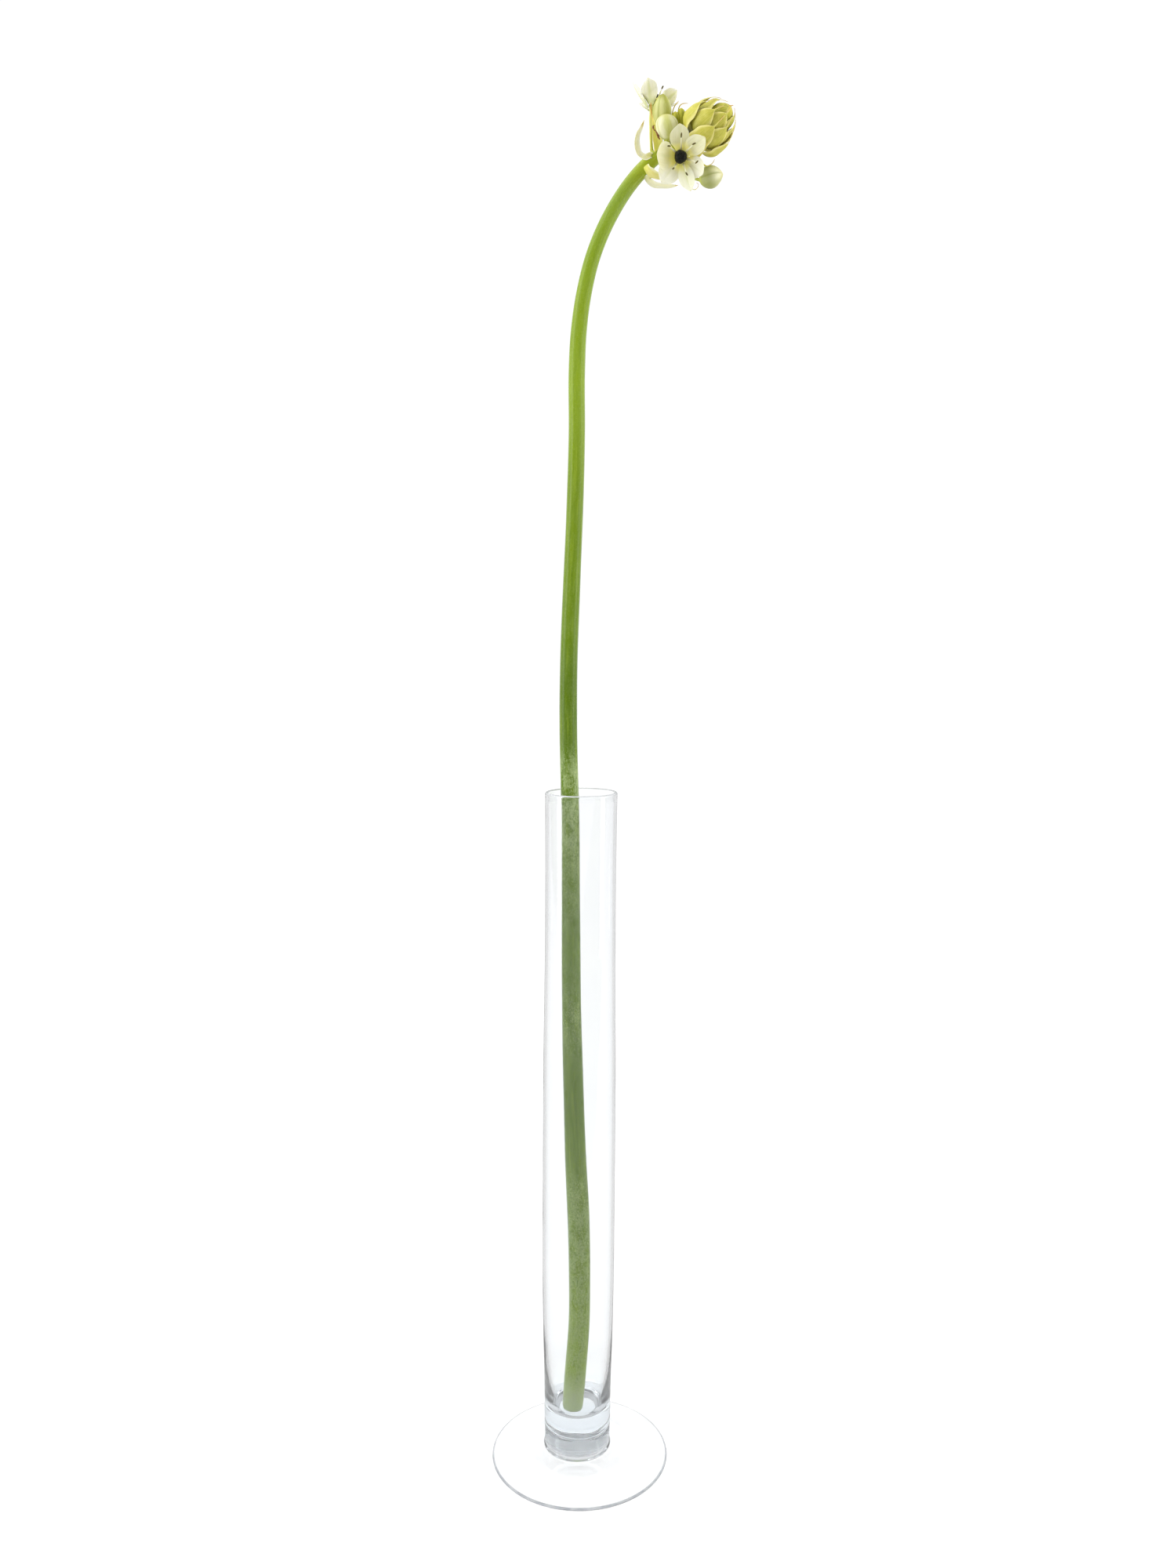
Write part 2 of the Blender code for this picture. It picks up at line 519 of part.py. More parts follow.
def cone_bract(name, azimuth, ring, base_t, body_t, end_t, width, mat=BRACT):
    """A bract that leaves the rachis, swells out to the cone's shell and closes over it in an awn."""
    inset = 1.35 * ring

    def shell(t):
        return profile_value(DOME, t) - inset

    line = [(2.75 - 0.37 * ring, base_t), (0.5 * shell(base_t + 2.4), base_t + 0.9),
            (0.9 * shell(base_t + 3.4), base_t + 2.8)]
    for k in range(6):
        t = base_t + 5.4 + (end_t - base_t - 5.4) * k / 5
        line.append((max(shell(t), 1.1), t))
    path = smooth_path([(r, 0.0, t) for r, t in line], 41)
    run = np.concatenate([[0], np.cumsum(np.linalg.norm(np.diff(path, axis=0), axis=1))])
    body = float(np.interp(body_t, path[8:, 2], run[8:])) / run[-1]
    table = [(0.0, 0.24 * width), (0.46 * body, width), (0.66 * body, 0.84 * width),
             (0.86 * body, 0.40 * width), (body, 0.55), (1.0, 0.42)]

    def place(s, t):
        k = min(int(s * 40), 39)
        c = path[k] + (path[k + 1] - path[k]) * (s * 40 - k)
        half = profile_value(table, s) / 2
        ang = min(half / max(c[0], 0.5), 1.05) * t
        return (c[0] * math.cos(ang), c[0] * math.sin(ang), c[2])

    obj = blade_mesh(name, place, mat, 10, 4, BRACT_THICKNESS)
    obj.rotation_euler = (0, 0, math.radians(azimuth))
    finish(obj, CONE)


rings = [([8.0, 70.0, 148.0, -138.0, -58.0], 0, -1.6, 12.4, 18.2, 8.8),
         ([36.0, 108.0, 182.0, -100.0, -24.0], 1, 1.4, 15.6, 19.8, 8.6),
         ([8.0, 90.0, 184.0, -70.0], 2, 4.6, 18.4, 21.0, 8.2),
         ([-30.0, 80.0, 200.0], 3, 8.2, 20.2, 22.2, 6.6)]
number = 0
for azimuths, ring, base_t, body_t, end_t, width in rings:
    for a in azimuths:
        number += 1
        cone_bract("cone_bract_%02d" % number, a, ring, base_t, body_t, end_t, width)

core = [(9.5, 1.2), (10.8, 2.2), (12.2, 3.9), (14.0, 4.6), (16.0, 3.9), (18.0, 2.6), (19.6, 1.3),
        (20.8, 0.35)]
round_solid("cone_tip_bud", [(0, 0, t) for t, r in core], [r for t, r in core], YOUNG, CONE)

# a small yellow bract in front of the cone, under the open flower's right tepals
leaf("small_yellow_bract",
     [(4.05, -0.5, 2.5), (4.6, -2.8, 4.9), (5.6, -4.7, 8.0), (7.6, -4.5, 11.2), (9.7, -2.8, 12.9), (11.6, -0.8, 13.5),
      (13.4, 1.2, 13.4)],
     [(0.0, 1.2), (0.5, 3.4), (0.8, 1.8), (1.0, 0.5)], (0.2, 0.3, -1.0), 0.7, BRACT, HEAD, rows=9)
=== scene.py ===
# The looks of a cut star of Bethlehem stem in a footed glass bud vase.
#
# Row frame: metres, +Z up, origin at the centre of the underside of the vase's foot.
# The head is laid out in a frame of its own, tipped forward with the nodding stem; each open flower
# and the cone of buds has its own frame inside it. Lengths are in millimetres until MM scales them.

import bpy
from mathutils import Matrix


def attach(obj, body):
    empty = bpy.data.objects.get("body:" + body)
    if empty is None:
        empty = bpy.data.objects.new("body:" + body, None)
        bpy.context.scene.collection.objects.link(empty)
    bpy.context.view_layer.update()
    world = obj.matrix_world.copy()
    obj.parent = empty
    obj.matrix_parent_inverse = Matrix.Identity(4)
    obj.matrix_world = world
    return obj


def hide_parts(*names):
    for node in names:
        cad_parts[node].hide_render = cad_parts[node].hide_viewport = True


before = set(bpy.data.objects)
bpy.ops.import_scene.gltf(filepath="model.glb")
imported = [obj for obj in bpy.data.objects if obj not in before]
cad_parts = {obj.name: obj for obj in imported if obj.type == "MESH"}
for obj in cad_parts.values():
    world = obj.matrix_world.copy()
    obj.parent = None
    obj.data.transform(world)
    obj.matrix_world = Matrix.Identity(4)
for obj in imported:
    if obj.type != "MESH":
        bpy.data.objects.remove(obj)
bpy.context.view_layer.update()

import math

import bpy
import numpy as np
from mathutils import Vector

MM = 0.001
rng = np.random.default_rng(11)


def linear(r, g, b, level=0.92):
    """A colour as the eye names it, 0 to 255, as the linear numbers that shaders take.

    The studio is bright, so a surface reflects a little less than its colour on the page."""
    out = []
    for c in (r, g, b):
        c = c / 255.0
        out.append(level * (c / 12.92 if c <= 0.04045 else ((c + 0.055) / 1.055) ** 2.4))
    return tuple(out)


# ---------------------------------------------------------------- camera

cam_data = bpy.data.cameras.new("camera")
cam_data.sensor_fit = "AUTO"
cam_data.sensor_width = 36.0
cam_data.lens = 28.944
cam_data.clip_start = 0.01
cam_data.clip_end = 50.0
cam = bpy.data.objects.new("camera", cam_data)
cam.location = (0.0044, -0.6171, 0.4276)
cam.rotation_euler = (math.radians(90.0 - 6.81), 0.0, 0.0)
bpy.context.scene.collection.objects.link(cam)
bpy.context.scene.camera = cam

# ---------------------------------------------------------------- curves through design points


def smooth_path(points, count):
    """Cubic through the points, spaced by arc length, sampled at count places."""
    p = np.asarray(points, dtype=float)
    d = np.linalg.norm(np.diff(p, axis=0), axis=1)
    u = np.concatenate([[0.0], np.cumsum(d)])
    m = np.zeros_like(p)
    m[1:-1] = ((p[2:] - p[1:-1]) / d[1:, None] * d[:-1, None]
               + (p[1:-1] - p[:-2]) / d[:-1, None] * d[1:, None]) / (d[:-1] + d[1:])[:, None]
    m[0] = 2 * (p[1] - p[0]) / d[0] - m[1]
    m[-1] = 2 * (p[-1] - p[-2]) / d[-1] - m[-2]
    s = np.linspace(0.0, u[-1], count)
    i = np.clip(np.searchsorted(u, s, side="right") - 1, 0, len(p) - 2)
    h = (u[i + 1] - u[i])[:, None]
    t = ((s - u[i]) / h[:, 0])[:, None]
    return ((2 * t**3 - 3 * t**2 + 1) * p[i] + (t**3 - 2 * t**2 + t) * h * m[i]
            + (-2 * t**3 + 3 * t**2) * p[i + 1] + (t**3 - t**2) * h * m[i + 1])


def steps_value(table, s):
    """Value from a short table, eased between its places, as the solid model has it."""
    xs, ys = (np.array(v, dtype=float) for v in zip(*table))
    s = np.asarray(s, dtype=float)
    i = np.clip(np.searchsorted(xs, s, side="left") - 1, 0, len(xs) - 2)
    t = np.clip((s - xs[i]) / (xs[i + 1] - xs[i]), 0, 1)
    t = t * t * (3 - 2 * t)
    return ys[i] + (ys[i + 1] - ys[i]) * t


def even_value(table, s):
    """Value from a short table along a curve with no steps and no overshoot."""
    xs, ys = (np.array(v, dtype=float) for v in zip(*table))
    h = np.diff(xs)
    slope = np.diff(ys) / h
    m = np.zeros_like(ys)
    for k in range(1, len(xs) - 1):
        if slope[k - 1] * slope[k] > 0:
            w1, w2 = 2 * h[k] + h[k - 1], h[k] + 2 * h[k - 1]
            m[k] = (w1 + w2) / (w1 / slope[k - 1] + w2 / slope[k])
    m[0], m[-1] = slope[0], slope[-1]
    s = np.clip(np.asarray(s, dtype=float), xs[0], xs[-1])
    i = np.clip(np.searchsorted(xs, s, side="right") - 1, 0, len(xs) - 2)
    t = (s - xs[i]) / h[i]
    return ((2 * t**3 - 3 * t**2 + 1) * ys[i] + (t**3 - 2 * t**2 + t) * h[i] * m[i]
            + (-2 * t**3 + 3 * t**2) * ys[i + 1] + (t**3 - t**2) * h[i] * m[i + 1])


def along(path, s):
    """Points at fractions s of a densely sampled path."""
    k = np.clip(np.asarray(s) * (len(path) - 1), 0, len(path) - 1 - 1e-9)
    i = k.astype(int)
    return path[i] + (path[i + 1] - path[i]) * (k - i)[..., None]


# ---------------------------------------------------------------- frames


class Frame:
    """A place and three directions, in millimetres of the row frame."""

    def __init__(self, origin, x, y, z):
        self.o = np.array(origin, dtype=float)
        self.m = np.array([x, y, z], dtype=float)

    def out(self, p):
        return self.o + np.asarray(p, dtype=float) @ self.m

    def inner(self, origin, x, y, z):
        return Frame(self.out(origin), *(np.array(v, dtype=float) @ self.m for v in (x, y, z)))


def unit(v):
    v = np.asarray(v, dtype=float)
    return v / np.linalg.norm(v)


WORLD = Frame((0, 0, 0), (1, 0, 0), (0, 1, 0), (0, 0, 1))
HEAD_ORIGIN = (48.2, 12.0, 657.4)
nod, turn = math.radians(20.0), math.radians(-4.0)
n_axis = np.array([math.sin(turn) * math.cos(nod), -math.cos(turn) * math.cos(nod), -math.sin(nod)])
r_axis = unit(np.cross([0, 0, 1], n_axis))
HEAD = Frame(HEAD_ORIGIN, r_axis, np.cross(n_axis, r_axis), n_axis)


def flower_frame(base, axis, up):
    z = unit(axis)
    y = unit(np.array(up, dtype=float) - z * float(np.dot(up, z)))
    return HEAD.inner(base, np.cross(y, z), y, z)


# ---------------------------------------------------------------- meshes

PIECES = []


def make(name, verts, faces, marks, mat, vectors=None, sharp=None):
    """A piece from points in millimetres of the row frame, standing for the node of its name."""
    me = bpy.data.meshes.new(name)
    me.from_pydata((np.asarray(verts) * MM).tolist(), [], [tuple(int(i) for i in f) for f in faces])
    for key, val in marks.items():
        a = me.attributes.new(key, "FLOAT", "POINT")
        a.data.foreach_set("value", np.ascontiguousarray(val, dtype=np.float32).ravel())
    for key, val in (vectors or {}).items():
        a = me.attributes.new(key, "FLOAT_VECTOR", "POINT")
        a.data.foreach_set("vector", np.ascontiguousarray(val, dtype=np.float32).ravel())
    me.materials.append(mat)
    me.shade_smooth()
    if sharp:
        me.set_sharp_from_angle(angle=math.radians(sharp))
    me.update()
    obj = bpy.data.objects.new(name + "_look", me)
    bpy.context.scene.collection.objects.link(obj)
    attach(obj, "root")
    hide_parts(name)
    PIECES.append(obj)
    return obj


def sheet_mesh(p, thick):
    """A thin closed body round the sheet p[row, column], with its rim closed and rounded."""
    rows, cols = p.shape[:2]
    ds = np.gradient(p, axis=0)
    dt = np.gradient(p, axis=1)
    n = np.cross(ds, dt)
    n /= np.linalg.norm(n, axis=2, keepdims=True) + 1e-12
    thick = np.broadcast_to(thick, (rows, cols))[..., None]
    top, bottom = p + n * thick / 2, p - n * thick / 2
    verts = np.concatenate([top.reshape(-1, 3), bottom.reshape(-1, 3)])
    idx = np.arange(rows * cols).reshape(rows, cols)
    a, b, c, d = idx[:-1, :-1], idx[1:, :-1], idx[1:, 1:], idx[:-1, 1:]
    q = np.stack([a, b, c, d], -1).reshape(-1, 4)
    k = rows * cols
    faces = [q, q[:, ::-1] + k]
    rim = np.concatenate([idx[0, :], idx[1:, -1], idx[-1, -2::-1], idx[-2:0:-1, 0]])
    nxt = np.roll(rim, -1)
    faces.append(np.stack([rim, nxt, nxt + k, rim + k], -1))
    return verts, np.concatenate(faces)


def sheet_piece(name, p, thick, s, t, mat, extra=None):
    """A sheet piece with its marks: along and across run over it, face tells its two sides apart."""
    verts, faces = sheet_mesh(p, thick)
    length = np.concatenate([[0], np.cumsum(np.linalg.norm(np.diff(p.mean(axis=1), axis=0), axis=1))])
    wide = np.linalg.norm(p - p.mean(axis=1, keepdims=True), axis=2) * np.sign(t)
    flat = np.stack([wide, np.broadcast_to(length[:, None], wide.shape), 0 * wide], -1)
    two = lambda v: np.tile(np.broadcast_to(v, p.shape[:2]).ravel(), 2)
    marks = {"along": two(s), "across": two(t),
             "face": np.repeat([1.0, 0.0], p.shape[0] * p.shape[1])}
    for key, val in (extra or {}).items():
        marks[key] = two(val)
    vectors = {"flow": np.tile(flat.reshape(-1, 3), (2, 1))}
    return make(name, verts, faces, marks, mat, vectors)


def tube_rings(path, radii, sides, shape=None, first=None, turn=0.0):
    """Rings round a path. shape(s, angle) scales the radius; first is where angle 0 points, and turn
    is how far the rings' points wind round from one end to the other."""
    d = np.gradient(path, axis=0)
    d /= np.linalg.norm(d, axis=1, keepdims=True)
    if first is None:
        first = np.cross(d[0], [0.0, 0.0, 1.0]) if abs(d[0][2]) < 0.9 else np.cross(d[0], [0.0, 1.0, 0.0])
    side = unit(first)
    ang = np.arange(sides) * math.tau / sides
    rings = []
    for i in range(len(path)):
        side = unit(side - d[i] * float(side @ d[i]))
        other = np.cross(d[i], side)
        at = ang + turn * i / (len(path) - 1)
        r = np.full(sides, radii[i]) if shape is None else radii[i] * shape(i / (len(path) - 1), at)
        rings.append(path[i] + np.outer(np.cos(at) * r, side) + np.outer(np.sin(at) * r, other))
    return np.array(rings), ang


def tube_mesh(rings):
    """Closed body from rings of points, each end closed by a point at its centre."""
    count, sides = rings.shape[:2]
    idx = np.arange(count * sides).reshape(count, sides)
    nxt = np.roll(idx, -1, axis=1)
    faces = [tuple(f) for f in np.stack([idx[:-1], nxt[:-1], nxt[1:], idx[1:]], -1).reshape(-1, 4)]
    verts = np.concatenate([rings.reshape(-1, 3), rings[0].mean(0)[None], rings[-1].mean(0)[None]])
    c0, c1 = count * sides, count * sides + 1
    for k in range(sides):
        faces.append((nxt[0, k], idx[0, k], c0))
        faces.append((idx[-1, k], nxt[-1, k], c1))
    return verts, faces


def tube_marks(rings, ang):
    count, sides = rings.shape[:2]
    mid = rings.mean(axis=1)
    run = np.concatenate([[0], np.cumsum(np.linalg.norm(np.diff(mid, axis=0), axis=1))])
    r = np.linalg.norm(rings - mid[:, None], axis=2)
    flow = np.stack([np.cos(ang) * r, np.sin(ang) * r, np.broadcast_to(run[:, None], r.shape)], -1)
    flow = np.concatenate([flow.reshape(-1, 3), [[0, 0, 0]], [[0, 0, run[-1]]]])
    s = np.broadcast_to((run / run[-1])[:, None], r.shape)
    s = np.concatenate([s.ravel(), [0.0, 1.0]])
    return s, flow, run


def tube_piece(name, path, radii, sides, mat, shape=None, marks=None):
    rings, ang = tube_rings(path, radii, sides, shape)
    verts, faces = tube_mesh(rings)
    s, flow, run = tube_marks(rings, ang)
    got = {"along": s}
    for key, fn in (marks or {}).items():
        val = fn(np.broadcast_to((run / run[-1])[:, None], rings.shape[:2]),
                 np.broadcast_to(ang[None, :], rings.shape[:2]))
        got[key] = np.concatenate([np.broadcast_to(val, rings.shape[:2]).ravel(),
                                   [val[0].mean(), val[-1].mean()]])
    return make(name, verts, faces, got, mat, {"flow": flow})


# ---------------------------------------------------------------- shader helpers


class Shade:
    """A Principled material whose sockets are fed by short chains of nodes."""

    def __init__(self, name, roughness=0.5, specular=0.5, subsurface=0.0, radius=(1.0, 0.8, 0.4),
                 scale=0.001, coat=0.0, coat_roughness=0.1, sheen=0.0):
        self.mat = bpy.data.materials.new(name)
        self.mat.use_nodes = True
        self.nt = self.mat.node_tree
        self.p = self.nt.nodes["Principled BSDF"]
        i = self.p.inputs
        i["Roughness"].default_value = roughness
        i["Specular IOR Level"].default_value = specular
        i["Subsurface Weight"].default_value = subsurface
        i["Subsurface Radius"].default_value = radius
        i["Subsurface Scale"].default_value = scale
        i["Coat Weight"].default_value = coat
        i["Coat Roughness"].default_value = coat_roughness
        i["Sheen Weight"].default_value = sheen

    def node(self, kind, **props):
        n = self.nt.nodes.new(kind)
        for k, v in props.items():
            setattr(n, k, v)
        return n

    def put(self, socket, value):
        if isinstance(value, (int, float)):
            socket.default_value = value
        elif isinstance(value, tuple):
            socket.default_value = (*value, 1.0) if len(value) == 3 and len(socket.default_value) == 4 else value
        else:
            self.nt.links.new(value, socket)

    def mark(self, name):
        return self.node("ShaderNodeAttribute", attribute_name=name).outputs["Fac"]

    def flow(self, x=1.0, y=1.0, z=1.0, name="flow"):
        a = self.node("ShaderNodeAttribute", attribute_name=name)
        m = self.node("ShaderNodeMapping")
        m.inputs["Scale"].default_value = (x, y, z)
        self.nt.links.new(a.outputs["Vector"], m.inputs["Vector"])
        return m.outputs["Vector"]

    def place(self):
        return self.node("ShaderNodeTexCoord").outputs["Object"]

    def calc(self, op, a, b=0.0, clamp=False):
        n = self.node("ShaderNodeMath", operation=op, use_clamp=clamp)
        self.put(n.inputs[0], a)
        self.put(n.inputs[1], b)
        return n.outputs[0]

    def between(self, value, low, high, to_low=0.0, to_high=1.0):
        n = self.node("ShaderNodeMapRange", interpolation_type="SMOOTHSTEP", clamp=True)
        self.put(n.inputs["Value"], value)
        n.inputs["From Min"].default_value = low
        n.inputs["From Max"].default_value = high
        n.inputs["To Min"].default_value = to_low
        n.inputs["To Max"].default_value = to_high
        return n.outputs["Result"]

    def noise(self, vector, scale, detail=3.0, rough=0.5, distortion=0.0):
        n = self.node("ShaderNodeTexNoise")
        self.put(n.inputs["Vector"], vector)
        n.inputs["Scale"].default_value = scale
        n.inputs["Detail"].default_value = detail
        n.inputs["Roughness"].default_value = rough
        n.inputs["Distortion"].default_value = distortion
        return n.outputs["Fac"]

    def mix(self, fac, a, b, blend="MIX"):
        n = self.node("ShaderNodeMix", data_type="RGBA", blend_type=blend, clamp_factor=True)
        self.put(n.inputs[0], fac)
        self.put(n.inputs[6], a)
        self.put(n.inputs[7], b)
        return n.outputs[2]

    def ramp(self, fac, stops):
        n = self.node("ShaderNodeValToRGB")
        self.put(n.inputs["Fac"], fac)
        e = n.color_ramp.elements
        while len(e) < len(stops):
            e.new(0.5)
        for slot, (pos, col) in zip(e, stops):
            slot.position = pos
            slot.color = (*col, 1.0)
        return n.outputs["Color"]

    def colour(self, value):
        self.put(self.p.inputs["Base Color"], value)

    def rough(self, value):
        self.put(self.p.inputs["Roughness"], value)

    def bump(self, height, distance, strength=1.0):
        n = self.node("ShaderNodeBump")
        n.inputs["Distance"].default_value = distance
        n.inputs["Strength"].default_value = strength
        self.put(n.inputs["Height"], height)
        self.nt.links.new(n.outputs["Normal"], self.p.inputs["Normal"])


# ---------------------------------------------------------------- materials


def stem_material():
    """A fleshy green stalk, with a waxy grey bloom in patches where it stands in the vase."""
    k = Shade("stem", roughness=0.34, specular=0.22, coat=0.14, coat_roughness=0.24, subsurface=0.05,
              sheen=0.80)
    k.p.inputs["Sheen Roughness"].default_value = 0.32
    s = k.mark("along")
    run = lambda mm: mm / 665.0
    base = k.ramp(s, [(0.0, linear(160, 186, 60)), (run(14), linear(146, 174, 50)),
                      (run(60), linear(126, 154, 30)), (run(120), linear(106, 136, 14)),
                      (run(160), linear(92, 122, 4)), (run(250), linear(96, 126, 6)),
                      (run(300), linear(104, 132, 20)), (run(346), linear(84, 112, 0.5)),
                      (run(376), linear(86, 114, 0.5)),
                      (run(400), linear(102, 130, 8)), (run(470), linear(112, 138, 8)),
                      (run(520), linear(136, 162, 26)), (run(560), linear(128, 154, 14)),
                      (run(612), linear(132, 158, 34)), (run(630), linear(158, 172, 24)), (run(642), linear(164, 176, 30)),
                      (1.0, linear(176, 187, 58))])
    grey = [(0, 0.30), (50, 0.38), (82, 0.55), (116, 0.42), (134, 0.06), (148, 0.0), (172, 0.0), (184, 0.10),
            (206, 0.40), (224, 0.16), (246, 0.08), (262, 0.22), (282, 0.34), (302, 0.85), (330, 0.72),
            (338, 0.35), (347, 0.03)]
    dusty = k.ramp(s, [(run(x), (v, v, v)) for x, v in grey])
    streak = k.noise(k.flow(1, 1, 0.045), 0.9, 4.0, 0.6)
    fine = k.noise(k.flow(1, 1, 0.03), 3.0, 3.0, 0.6)
    blot = k.noise(k.flow(1, 1, 0.5), 0.22, 4.0, 0.6)
    speck = k.noise(k.flow(1, 1, 0.7), 1.25, 4.0, 0.75)
    bloom = k.calc("MULTIPLY", dusty, k.between(k.calc("ADD", blot, k.calc("MULTIPLY", speck, 0.6)),
                                                0.66, 0.92, 0.0, 1.0))
    c = k.mix(k.between(streak, 0.46, 0.74, 0.0, 0.34), base, linear(160, 182, 52))
    c = k.mix(k.between(fine, 0.50, 0.74, 0.0, 0.34), c, linear(74, 100, 8))
    c = k.mix(bloom, c, linear(162, 180, 122))
    dots = k.noise(k.flow(1, 1, 0.8), 2.2, 2.0, 0.6)
    rub = k.between(dusty, 0.0, 0.5, 0.22, 1.0)
    c = k.mix(k.calc("MULTIPLY", rub, k.between(speck, 0.54, 0.68, 0.0, 0.50)), c, linear(188, 204, 126))
    c = k.mix(k.calc("MULTIPLY", rub, k.between(speck, 0.47, 0.33, 0.0, 0.60)), c, linear(76, 108, 10))
    c = k.mix(k.calc("MULTIPLY", rub, k.between(dots, 0.60, 0.70, 0.0, 0.45)), c, linear(208, 216, 156))
    k.colour(c)
    k.rough(k.calc("ADD", k.between(blot, 0.3, 0.7, 0.26, 0.38), k.calc("MULTIPLY", bloom, 0.14)))
    k.bump(k.calc("ADD", k.calc("MULTIPLY", streak, 0.7), k.calc("MULTIPLY", fine, 0.3)), 0.0001, 0.6)
    return k.mat


def pedicel_material():
    k = Shade("pedicel", roughness=0.42, specular=0.4, subsurface=0.15)
    s = k.mark("along")
    base = k.ramp(s, [(0.0, linear(200, 200, 92)), (0.5, linear(214, 209, 112)),
                      (1.0, linear(196, 200, 112))])
    streak = k.noise(k.flow(1, 1, 0.08), 1.6, 3.0, 0.6)
    k.colour(k.mix(k.between(streak, 0.42, 0.68, 0.0, 0.5), base, linear(158, 172, 62)))
    k.bump(streak, 0.00008, 0.6)
    return k.mat


def tepal_material(name, pale, shade, hollow, claw, deep=0.6, rib_weight=0.35,
                   rib=linear(206, 212, 150), back_rib=linear(196, 206, 140)):
    """Waxy cream, yellower at its claw, with fine veins and a weak green midrib. Its hollow is yellower, its own tint,
    and darker, painted shade.
    """
    k = Shade(name, roughness=0.44, specular=0.32, subsurface=0.28, radius=(1.0, 0.9, 0.5),
              scale=0.0012)
    s, t = k.mark("along"), k.calc("ABSOLUTE", k.mark("across"))
    vein = k.noise(k.flow(1.0, 0.05, 1.0), 1.7, 3.0, 0.55)
    cloud = k.noise(k.flow(1, 1, 1), 0.24, 3.0, 0.55)
    grain = k.noise(k.flow(1, 0.5, 1), 5.0, 2.0, 0.5)
    c = k.mix(k.between(vein, 0.40, 0.70, 0.0, 0.45), pale, shade)
    c = k.mix(k.between(cloud, 0.44, 0.66, 0.0, 0.45), c, shade)
    # painted shade in part: the cupped middle takes the hollow colour, yellower as the tepal's own tint and darker as
    # painted shade
    inner = k.calc("MULTIPLY", k.between(s, 0.16, 0.74, 1.0, 0.0), k.between(t, 0.20, 0.90, 1.0, 0.0))
    c = k.mix(k.calc("MULTIPLY", inner, deep), c, hollow)
    line = k.calc("MULTIPLY", k.between(t, 0.0, 0.12, rib_weight, 0.0), k.between(s, 0.50, 1.0, 1.0, 0.2))
    c = k.mix(line, c, rib)
    c = k.mix(k.between(s, 0.12, 0.38, 0.95, 0.0), c, claw)
    back = k.mix(k.between(t, 0.0, 0.30, 0.70, 0.0), c, back_rib)
    c = k.mix(k.mark("face"), back, c)
    tip = k.calc("MULTIPLY", k.between(s, 0.94, 1.0, 0.0, 0.6), k.between(t, 0.0, 0.9, 1.0, 0.3))
    c = k.mix(tip, c, linear(206, 192, 128))
    c = k.mix(k.between(grain, 0.55, 0.75, 0.0, 0.12), c, linear(255, 253, 240))
    k.colour(c)
    k.rough(k.between(cloud, 0.3, 0.7, 0.38, 0.52))
    k.bump(k.calc("ADD", vein, k.calc("MULTIPLY", cloud, 0.3)), 0.00012, 0.8)
    return k.mat


def ovary_material():
    """Near black, lumpy, with a soft shine on its shoulders."""
    k = Shade("ovary", roughness=0.34, specular=0.12, coat=0.05, coat_roughness=0.12)
    n = k.noise(k.place(), 900.0, 4.0, 0.6)
    fine = k.noise(k.place(), 3600.0, 2.0, 0.6)
    c = k.mix(k.between(n, 0.35, 0.7), linear(10, 11, 8), linear(34, 34, 24))
    k.colour(k.mix(k.between(fine, 0.58, 0.72, 0.0, 0.5), c, linear(70, 66, 44)))
    k.rough(k.between(n, 0.3, 0.7, 0.22, 0.42))
    k.bump(k.calc("ADD", n, k.calc("MULTIPLY", fine, 0.4)), 0.00016, 0.9)
    return k.mat


def stamen_material():
    """Cream filament, and an olive brown anther dusted with a little yellow pollen."""
    k = Shade("stamen", roughness=0.55, specular=0.35, subsurface=0.1)
    a = k.mark("anther")
    n = k.noise(k.place(), 2600.0, 4.0, 0.65)
    fil = k.mix(k.mark("along"), linear(232, 224, 160), linear(240, 238, 210))
    ant = k.mix(k.between(n, 0.42, 0.62), linear(78, 72, 30), linear(124, 112, 52))
    ant = k.mix(k.between(n, 0.58, 0.72, 0.0, 0.8), ant, linear(176, 152, 76))
    k.colour(k.mix(a, fil, ant))
    k.bump(n, 0.0001, 0.7)
    return k.mat


def bud_material(name, pale, green, edge, tip, tail_colour=linear(186, 192, 88), weight=0.85,
                 shoulder=0.0):
    """A closed bud: green down the middle of each folded tepal, paler to its overlapping edges, and darker green in the
    crease under each covering edge, which is painted shade.
    """
    k = Shade(name, roughness=0.40, specular=0.34, subsurface=0.22, radius=(1.0, 0.95, 0.5),
              scale=0.0014)
    s, rib, seam_and_shade, body = k.mark("along"), k.mark("rib"), k.mark("seam_and_shade"), k.mark("body")
    streak = k.noise(k.flow(1, 1, 0.09), 1.5, 3.0, 0.6)
    cloud = k.noise(k.flow(1, 1, 0.7), 0.28, 3.0, 0.55)
    band = k.calc("ADD", rib, k.calc("MULTIPLY", k.calc("SUBTRACT", streak, 0.5), 0.9), clamp=True)
    c = k.mix(k.between(band, 0.10, 1.0, 0.0, weight), pale, green)
    c = k.mix(k.between(cloud, 0.46, 0.70, 0.0, 0.35), c, k.mix(0.5, pale, green))
    c = k.mix(k.calc("MULTIPLY", seam_and_shade, 0.75), c, edge)
    # painted shade: where the mark dips below zero, in the crease under a covering edge, the colour turns darker green
    c = k.mix(k.calc("MULTIPLY", seam_and_shade, -0.75), c, k.mix(0.5, green, linear(120, 130, 40)))
    c = k.mix(k.between(s, 0.30, 0.74, shoulder, 0.0), c, green)
    c = k.mix(k.between(s, 0.72, 1.0, 0.0, 0.9), c, tip)
    c = k.mix(k.between(s, 0.16, 0.0, 0.0, 0.6), c, tail_colour)
    c = k.mix(body, tail_colour, c)
    k.colour(c)
    k.rough(k.between(cloud, 0.3, 0.7, 0.34, 0.48))
    k.bump(streak, 0.0001, 0.6)
    return k.mat


